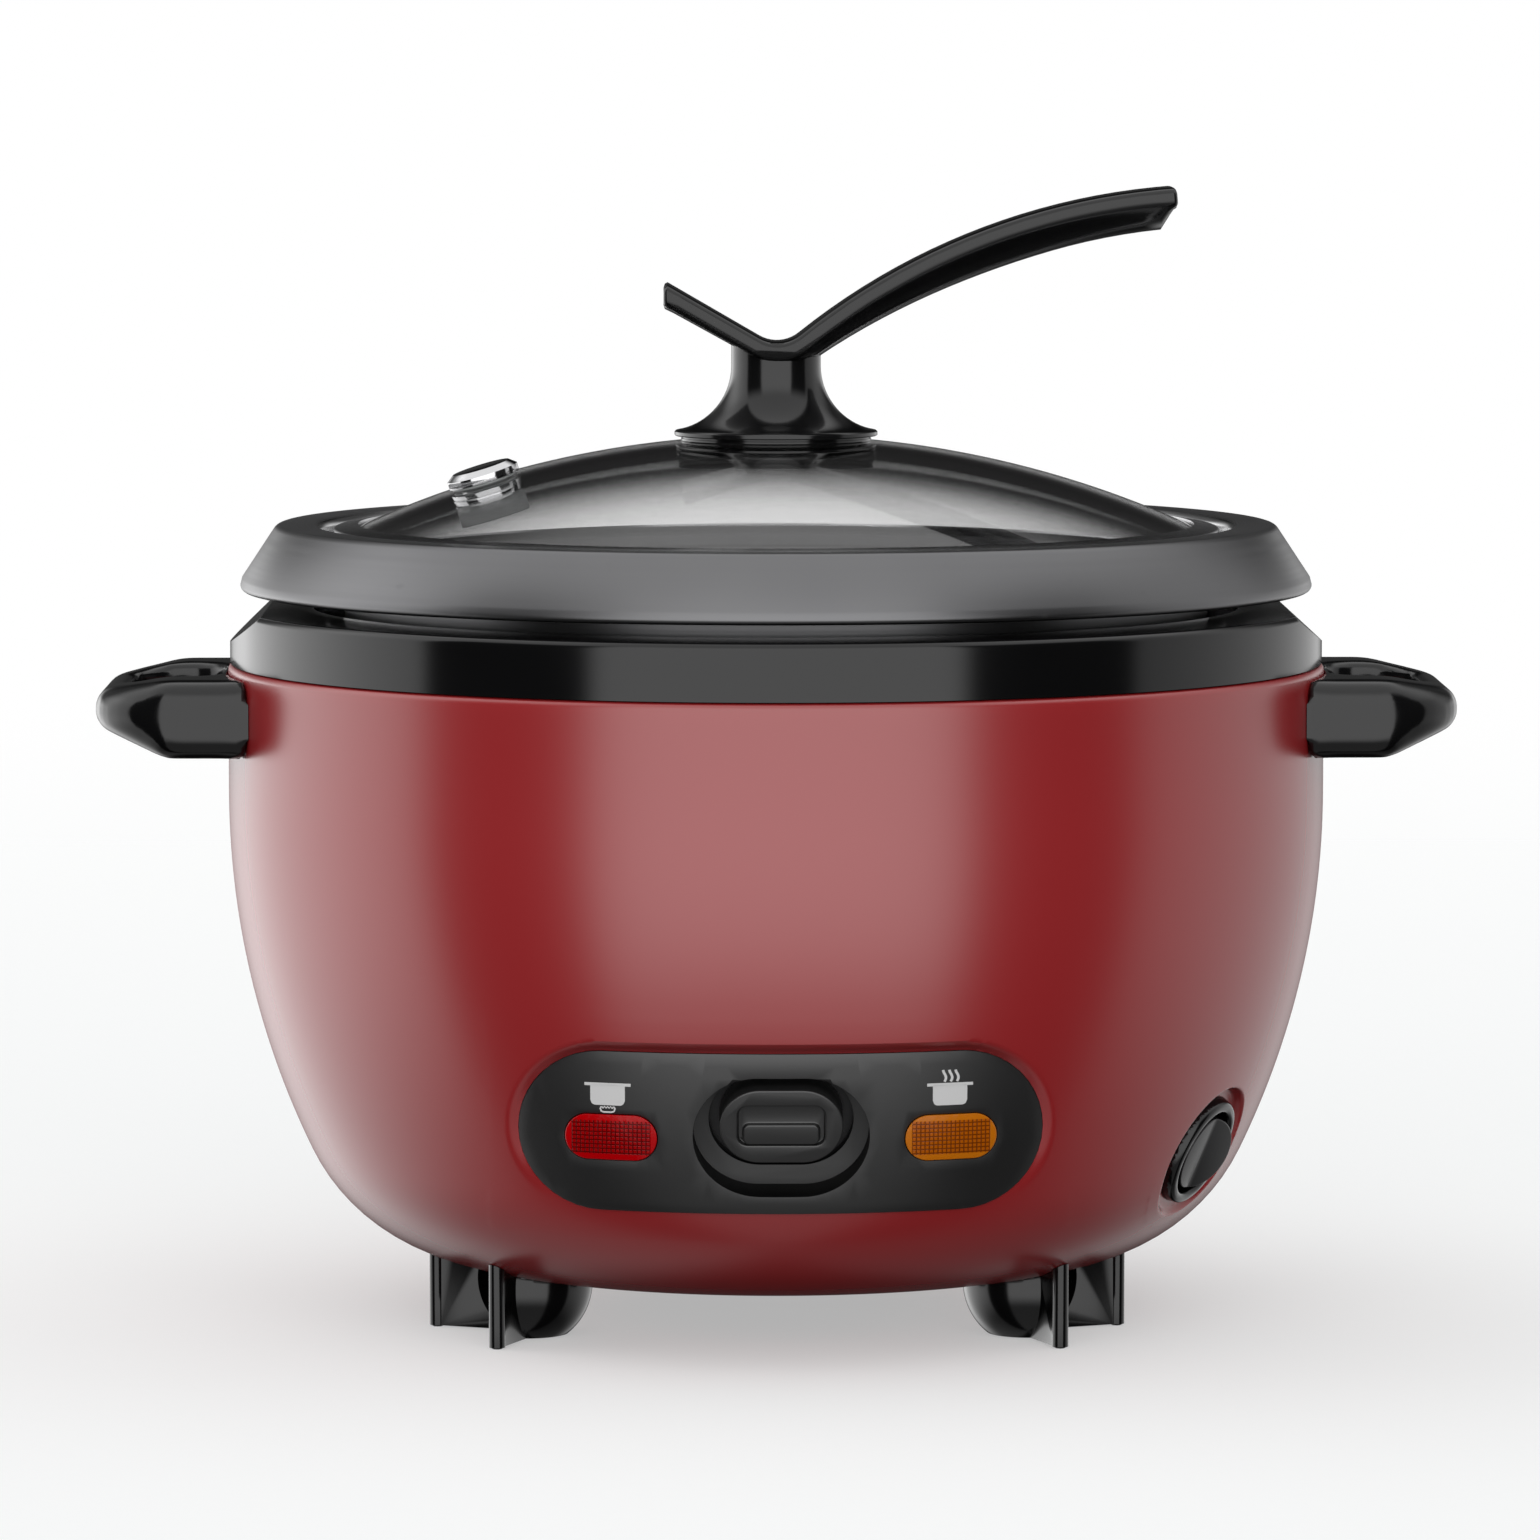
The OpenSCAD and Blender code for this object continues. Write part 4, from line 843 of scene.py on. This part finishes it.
def mix_number(tree, mask, a, b):
    return add(tree, "ShaderNodeMix", {0: mask, 2: a, 3: b}, data_type="FLOAT")[0]


def mix_shader(tree, mask, a, b):
    return add(tree, "ShaderNodeMixShader", {0: mask, 1: a, 2: b})[0]


def split(tree, vector):
    return add(tree, "ShaderNodeSeparateXYZ", {0: vector})


def object_point(tree):
    return add(tree, "ShaderNodeTexCoord")["Object"]


def noise(tree, vector, scale, detail=3.0, roughness=0.5):
    sources = {"Vector": vector, "Scale": scale, "Detail": detail, "Roughness": roughness}
    return add(tree, "ShaderNodeTexNoise", sources)["Fac"]


def effect(name, number, default, build):
    """A node group with one number as input; build gives its outputs by name."""
    group = bpy.data.node_groups.new(name, "ShaderNodeTree")
    socket = group.interface.new_socket(number, in_out="INPUT", socket_type="NodeSocketFloat")
    socket.default_value = default
    made = build(group, add(group, "NodeGroupInput")[0])
    for key in made:
        group.interface.new_socket(key, in_out="OUTPUT", socket_type="NodeSocketFloat")
    add(group, "NodeGroupOutput", made)
    return group


# %% Shared effects
def moulded_grain(tree, scale):
    where = object_point(tree)
    return {"Height": noise(tree, where, scale, 4.0),
            "Mottle": spread(tree, noise(tree, where, 28.0, 2.0), 0.1, 0.9)}


def light_scratches(tree, density):
    layers = []
    for turn, stretch in ((0.5, 260.0), (2.1, 340.0)):
        mapping = tree.nodes.new("ShaderNodeMapping")
        mapping.inputs["Rotation"].default_value = (turn, turn * 0.7, turn)
        mapping.inputs["Scale"].default_value = (stretch, 9.0, stretch)
        stretched = feed(tree, mapping, {"Vector": object_point(tree)})[0]
        layers.append(spread(tree, noise(tree, stretched, 1.0, 2.0), 0.7, 0.76))
    return {"Mask": product(tree, compute(tree, "MAXIMUM", *layers), density)}


def edge_wear(tree, amount):
    pointed = add(tree, "ShaderNodeNewGeometry")["Pointiness"]
    broken = spread(tree, noise(tree, object_point(tree), 160.0, 4.0), 0.4, 0.65)
    return {"Mask": product(tree, spread(tree, pointed, 0.53, 0.62), broken, amount)}


def settled_dust(tree, amount):
    up = split(tree, add(tree, "ShaderNodeNewGeometry")["Normal"])["Z"]
    specks = spread(tree, noise(tree, object_point(tree), 420.0, 6.0, 0.7), 0.45, 0.8)
    return {"Mask": product(tree, spread(tree, up, 0.5, 1.0), specks, amount)}


def turning_marks(tree, spacing):
    axes = split(tree, object_point(tree))
    squares = [product(tree, axes[key], axes[key]) for key in ("X", "Y")]
    along = total(tree, compute(tree, "SQRT", total(tree, *squares)), product(tree, axes["Z"], 0.83))
    line = add(tree, "ShaderNodeCombineXYZ", {"X": product(tree, along, spacing)})[0]
    marks = noise(tree, line, 1.0)
    return {"Height": marks, "Mask": spread(tree, marks, 0.3, 0.7)}


grain_group = effect("moulded_grain", "Scale", 900.0, moulded_grain)
scratch_group = effect("light_scratches", "Density", 0.5, light_scratches)
wear_group = effect("edge_wear", "Amount", 0.5, edge_wear)
dust_group = effect("settled_dust", "Amount", 0.2, settled_dust)
turning_group = effect("turning_marks", "Spacing", 2600.0, turning_marks)
print("effects:", [group.name for group in bpy.data.node_groups])

# %% [markdown]
# One function makes a moulded or metal finish. Colour moves between two close shades with the mottle,
# wear and dust lighten it, and roughness and bump come from the grain and the scratches.

# %% Solid finishes
DUST_COLOUR = (0.45, 0.43, 0.40)


def use_group(tree, group, **numbers):
    """Puts an effect into a material and gives its outputs."""
    return add(tree, "ShaderNodeGroup", numbers, node_tree=group)


def new_material(name, numbers):
    """A material, its tree and its shader with those numbers."""
    material = bpy.data.materials.new(name)
    material.use_nodes = True
    tree = material.node_tree
    shader = tree.nodes["Principled BSDF"]
    feed(tree, shader, numbers)
    return material, tree, shader


def finish(name, colour, second, roughness, metal=0.0, level=0.5, grain=900.0, relief=0.00002,
           scratches=0.3, wear=0.3, dust=0.1, worn_colour=None, turning=False, extra=None, swing=0.07):
    material, tree, shader = new_material(name, {"Metallic": metal, "Specular IOR Level": level})
    grains = use_group(tree, grain_group, Scale=grain)
    lines = use_group(tree, scratch_group, Density=scratches)["Mask"]
    worn = use_group(tree, wear_group, Amount=wear)["Mask"]
    dusty = use_group(tree, dust_group, Amount=dust)["Mask"]
    base = mix_colour(tree, grains["Mottle"], colour, second)
    base = mix_colour(tree, worn, base, worn_colour or tuple(min(1, c * 1.6 + 0.02) for c in colour))
    base = mix_colour(tree, dusty, base, DUST_COLOUR)
    height = grains["Height"]
    rough = spread(tree, grains["Mottle"], 0.0, 1.0, roughness * (1 - swing), roughness * (1 + swing))
    rough = total(tree, rough, product(tree, lines, 0.12), product(tree, dusty, 0.3))
    if turning:
        marks = use_group(tree, turning_group)
        height = total(tree, height, marks["Height"])
        rough = total(tree, rough, product(tree, marks["Mask"], 0.06))
    if extra:
        base, height = extra(tree, base, height)
    bump = add(tree, "ShaderNodeBump", {"Strength": 0.25, "Distance": relief, "Height": height})[0]
    feed(tree, shader, {"Base Color": base, "Roughness": rough, "Normal": bump})
    return material


finishes = {
    "red_shell": finish("red_moulding", (0.35, 0.0175, 0.0203), (0.35, 0.0175, 0.0203), 0.27, level=1.12,
                        swing=0.0, grain=2200.0, relief=0.000003, scratches=0.0, wear=0.0, dust=0.0),
    "black_plastic": finish("black_moulding", (0.0042, 0.0042, 0.0045), (0.006, 0.006, 0.0064), 0.13,
                            relief=0.000006, scratches=0.12, wear=0.12, dust=0.01,
                            worn_colour=(0.035, 0.035, 0.036)),
    "panel_plastic": finish("panel_moulding", (0.0125, 0.0125, 0.0128), (0.0145, 0.0145, 0.0148), 0.36,
                            level=0.95, scratches=0.1, wear=0.2, dust=0.0, worn_colour=(0.03, 0.03, 0.03)),
    # painted shade: the deep channel round the button is coloured darker than the panel, for the shade in
    # that recess
    "channel_painted_shade": finish("painted_shade_channel_moulding", (0.0018, 0.0018, 0.0018), (0.0026, 0.0026, 0.0026), 0.3,
                             level=0.35, scratches=0.1, wear=0.0, dust=0.0),
    "polished_pot": finish("polished_aluminium", (0.42, 0.42, 0.425), (0.48, 0.48, 0.485), 0.14, metal=1.0,
                           dust=0.0, turning=True, worn_colour=(0.6, 0.6, 0.6)),
    "rocker_plastic": finish("rocker_moulding", (0.008, 0.008, 0.009), (0.011, 0.011, 0.012), 0.2,
                             dust=0.03),
    "inner_plastic": finish("plain_black_moulding", (0.012, 0.012, 0.013), (0.017, 0.017, 0.018), 0.5,
                            grain=1500.0, relief=0.00006),
    "pot_metal": finish("spun_aluminium", (0.16, 0.16, 0.165), (0.18, 0.18, 0.184), 0.3, metal=1.0,
                        scratches=0.5, dust=0.02, turning=True, worn_colour=(0.35, 0.35, 0.36)),
    "steel": finish("bright_steel", (0.58, 0.58, 0.59), (0.63, 0.63, 0.64), 0.2, metal=1.0, scratches=0.5,
                    dust=0.02),
    "sheet_steel": finish("rolled_sheet", (0.46, 0.46, 0.47), (0.54, 0.54, 0.56), 0.36, metal=1.0,
                          scratches=0.8),
    "cast_plate": finish("cast_aluminium", (0.5, 0.5, 0.51), (0.6, 0.6, 0.61), 0.48, metal=1.0,
                         grain=1800.0, relief=0.0001, turning=True),
    "heater_sheath": finish("heat_tinted_sheath", (0.3, 0.29, 0.28), (0.42, 0.37, 0.31), 0.45, metal=1.0),
    "magnet": finish("ferrite", (0.10, 0.10, 0.11), (0.14, 0.14, 0.15), 0.7, grain=2500.0, relief=0.0001),
    "brass": finish("nickel_brass", (0.66, 0.47, 0.19), (0.74, 0.55, 0.24), 0.3, metal=1.0),
    "pale_plastic": finish("pale_moulding", (0.72, 0.70, 0.63), (0.78, 0.76, 0.69), 0.55, grain=1300.0),
    "print_white": finish("white_print", (0.66, 0.66, 0.66), (0.72, 0.72, 0.72), 0.5, wear=0.0, dust=0.0),
    "vent_metal": finish("polished_steel", (0.62, 0.62, 0.63), (0.68, 0.68, 0.69), 0.09, metal=1.0),
    "vent_collar": finish("milky_collar", (0.5, 0.52, 0.52), (0.58, 0.59, 0.59), 0.25),
    "seal": finish("silicone_seal", (0.025, 0.025, 0.025), (0.035, 0.035, 0.035), 0.6, grain=1600.0),
}

# %% [markdown]
# The lamp windows are tinted plastic with a fine grid of prisms moulded inside a plain border. The
# grid is worked out from Object coordinates. Its lines are darker and sunk, and the border is brighter.

# %% Lamp windows
LAMP_X = 32.4
LAMP_Z = (foot_of("cook_lamp_lens").z + top_of("cook_lamp_lens").z) / 2
PRISM = 0.83  # from one grid line to the next
PRISMS_W, PRISMS_H = 15.0, 6.6  # what the grid covers
FADE = 0.1


def prisms(middle_x, dark, bright):
    def extra(tree, base, height):
        axes = split(tree, object_point(tree))
        waves = [compute(tree, "PINGPONG", axes[key], PRISM * MM / 2) for key in ("X", "Z")]
        grid = spread(tree, compute(tree, "MINIMUM", *waves), 0.06 * MM, 0.18 * MM, 1.0, 0.0)
        within = []
        for key, middle, size in (("X", middle_x, PRISMS_W), ("Z", LAMP_Z, PRISMS_H)):
            away = compute(tree, "ABSOLUTE", compute(tree, "SUBTRACT", axes[key], middle * MM))
            within.append(spread(tree, away, (size / 2 - FADE) * MM, (size / 2 + FADE) * MM, 1.0, 0.0))
        inside = product(tree, *within)
        mask = product(tree, grid, inside)
        base = mix_colour(tree, product(tree, remainder(tree, inside), 0.45), base, bright)
        base = mix_colour(tree, product(tree, mask, 0.85), base, dark)
        return base, compute(tree, "SUBTRACT", height, mask)
    return extra


window = {"level": 0.25, "wear": 0.0, "dust": 0.0, "relief": 0.0002}
finishes["red_lens"] = finish("red_window", (0.3, 0.0, 0.0005), (0.4, 0.0, 0.001), 0.14, **window,
                              extra=prisms(-LAMP_X, (0.07, 0.0, 0.0), (0.62, 0.0, 0.004)))
finishes["amber_lens"] = finish("amber_window", (0.42, 0.09, 0.0004), (0.5, 0.11, 0.0006), 0.14, **window,
                                extra=prisms(LAMP_X, (0.12, 0.022, 0.0), (0.72, 0.24, 0.01)))

# %% [markdown]
# Glass bends light, and Cycles would give it a heavy shadow, so for shadow rays it is mixed with a
# transparent shader. A faint film of grease and dust shows in the roughness.

# %% Glass
def glass(name, tint, ior):
    material, tree, shader = new_material(name, {"Transmission Weight": 1.0, "IOR": ior})
    film = use_group(tree, grain_group, Scale=60.0)["Mottle"]
    feed(tree, shader, {"Base Color": mix_colour(tree, film, tint, tuple(c * 0.985 for c in tint)),
                        "Roughness": spread(tree, film, 0.0, 1.0, 0.0, 0.02)})
    clear = add(tree, "ShaderNodeBsdfTransparent", {0: tuple(c * 0.95 for c in tint)})[0]
    in_shadow = add(tree, "ShaderNodeLightPath")["Is Shadow Ray"]
    surface = mix_shader(tree, in_shadow, shader.outputs[0], clear)
    feed(tree, tree.nodes["Material Output"], {"Surface": surface})
    return material


finishes["dome_glass"] = glass("dome_glass", (0.96, 0.96, 0.96), 1.5)
finishes["lamp_glass"] = glass("lamp_glass", (0.97, 0.97, 0.95), 1.45)

# %% [markdown]
# A piece gets the finish named where it was placed, and a hidden CAD node gets the one of its slot.
# The pot is polished inside, and the channel round the button gets a darker colour as painted shade, for
# the shade that falls in that deep recess.

# %% Give every piece its finish
slot_of = {part["node"]: part["material_slot"] for part in frame["record"]["subparts"]}
for name, slot in {**slot_of, **finish_of}.items():
    piece = bpy.data.objects[name]
    piece.data.materials.clear()
    piece.data.materials.append(finishes[slot])


def second_finish(piece, name, test):
    """Gives the faces that pass the test another finish."""
    piece.data.materials.append(finishes[name])
    for face in piece.data.polygons:
        if test(face):
            face.material_index = 1


def inside_pot(face):
    spot, out = face.center / MM, face.normal
    facing_in = spot.to_2d().dot(out.to_2d()) <= 0.0 and out.z > -0.5
    return math.hypot(spot.x, spot.y) < LEDGE_R + 2.5 and facing_in


def in_channel(face):
    corners = [panel.data.vertices[i].co / MM for i in face.vertices]
    return max(stadium_distance(c.x, c.z - PANEL_Z, HOLLOW_W, HOLLOW_H) for c in corners) < 0.3


second_finish(pot, "polished_pot", inside_pot)
second_finish(panel, "channel_painted_shade", in_channel)
print("finished pieces:", len(slot_of) + len(finish_of))

# %% [markdown]
# The studio is a white sweep with soft boxes round it: a wide one in front, a bright one behind on
# the left and a weaker one on the right, with dark gaps between them. Gloss shows all of it, so it is
# drawn as one sky by direction. What is seen through the glass has its own, and the camera itself sees
# plain white.

# %% The studio
BRIGHTEST = 2.6
CEILING = 1.1
AROUND = [(-180, 0.04), (-172, 0.06), (-162, 1.2), (-150, 2.2), (-110, 1.85), (-80, 1.3), (-77, 0.02),
          (-41, 0.02), (-37, 1.75), (37, 1.75), (41, 0.02), (78, 0.02), (81, 0.56), (110, 0.77),
          (140, 0.93), (160, 1.0), (170, 0.06), (180, 0.04)]  # degrees from the front, and light
world = bpy.data.worlds.new("studio")
scene.world = world
world.use_nodes = True
sky = world.node_tree
direction = split(sky, add(sky, "ShaderNodeTexCoord")["Generated"])
azimuth = compute(sky, "ARCTAN2", direction["X"], product(sky, direction["Y"], -1.0))
boxes = sky.nodes.new("ShaderNodeValToRGB")
feed(sky, boxes, {0: total(sky, compute(sky, "DIVIDE", azimuth, 2 * math.pi), 0.5)})
stops = boxes.color_ramp.elements
while len(stops) < len(AROUND):
    stops.new(0.5)
for stop, (turn, light) in zip(stops, AROUND):
    stop.position = turn / 360 + 0.5
    stop.color = (*[light / BRIGHTEST] * 3, 1)
around = product(sky, boxes.outputs[0], BRIGHTEST)
elevation = product(sky, compute(sky, "ARCSINE", direction["Z"]), 180 / math.pi)
from_front = compute(sky, "ABSOLUTE", azimuth)


def by_turn(start, end, to_lo=0.0, to_hi=1.0):
    """A soft step between two angles from the front, in degrees."""
    return spread(sky, from_front, math.radians(start), math.radians(end), to_lo, to_hi)


in_front = by_turn(36, 60, 1.0, 0.0)
front_low = spread(sky, elevation, -39.0, -15.0, 0.16, 1.0)  # where the boxes end low down
side_low = spread(sky, elevation, -52.0, -11.0, 0.14, 1.0)
low = total(sky, product(sky, front_low, in_front), product(sky, side_low, remainder(sky, in_front)))
overhead = spread(sky, elevation, 28.0, 50.0)
dark_wall = product(sky, spread(sky, elevation, 3.0, 14.0, 0.0, 0.93), by_turn(110, 150))  # behind
lit = product(sky, around, low, remainder(sky, dark_wall))
light = total(sky, product(sky, lit, remainder(sky, overhead)), product(sky, overhead, CEILING))
path = add(sky, "ShaderNodeLightPath")
through = product(sky, by_turn(95, 130), spread(sky, elevation, 0.5, 6.5, 1.1, 0.03))
around_it = mix_number(sky, path["Is Transmission Ray"], light, through)
feed(sky, sky.nodes["Background"], {"Color": mix_number(sky, path["Is Camera Ray"], around_it, 1.0)})
scene.view_settings.view_transform = "Standard"

# %% [markdown]
# The floor is a pale sheet that takes the soft shadow and fades into the white. It is hidden from
# reflections, because the studio already says what lies that way.

# %% The floor
FLOOR_HALF = 6.0
GLOW = 0.42  # how much of the sheet glows; the rest is lit paper
floor = fresh(bpy.ops.mesh.primitive_plane_add, "floor", size=2 * FLOOR_HALF)
floor.visible_glossy = floor.visible_diffuse = floor.visible_transmission = False
paper, tree, shader = new_material("paper", {"Roughness": 0.9, "Specular IOR Level": 0.1})
fibre = noise(tree, object_point(tree), 300.0)
feed(tree, shader, {"Base Color": mix_colour(tree, fibre, (0.92, 0.945, 0.945), (0.94, 0.96, 0.96))})
glow = add(tree, "ShaderNodeEmission", {"Color": (0.985, 0.985, 0.985)})[0]
sheet = mix_shader(tree, GLOW, shader.outputs[0], glow)
faded = spread(tree, split(tree, object_point(tree))["Y"], 0.1, 1.6)
surface = mix_shader(tree, faded, sheet, add(tree, "ShaderNodeBsdfTransparent")[0])
feed(tree, tree.nodes["Material Output"], {"Surface": surface})
floor.data.materials.append(paper)

# %% [markdown]
# The camera stands low and far off with a long lens, as for a product shot, so that upright edges stay
# parallel and the round rims look thin.

# %% The camera
CAMERA_AWAY = 1.685
CAMERA_TURN = math.radians(-0.6)
CAMERA_HEIGHT = 0.258
TARGET = Vector((-0.0012, 0, 0.109))
LENS = 197
camera_data = bpy.data.cameras.new("camera")
camera = bpy.data.objects.new("camera", camera_data)
scene.collection.objects.link(camera)
camera.location = (CAMERA_AWAY * math.sin(CAMERA_TURN), -CAMERA_AWAY * math.cos(CAMERA_TURN), CAMERA_HEIGHT)
camera.rotation_euler = (TARGET - camera.location).to_track_quat("-Z", "Y").to_euler()
camera_data.lens = LENS
camera_data.clip_end = 50
scene.camera = camera
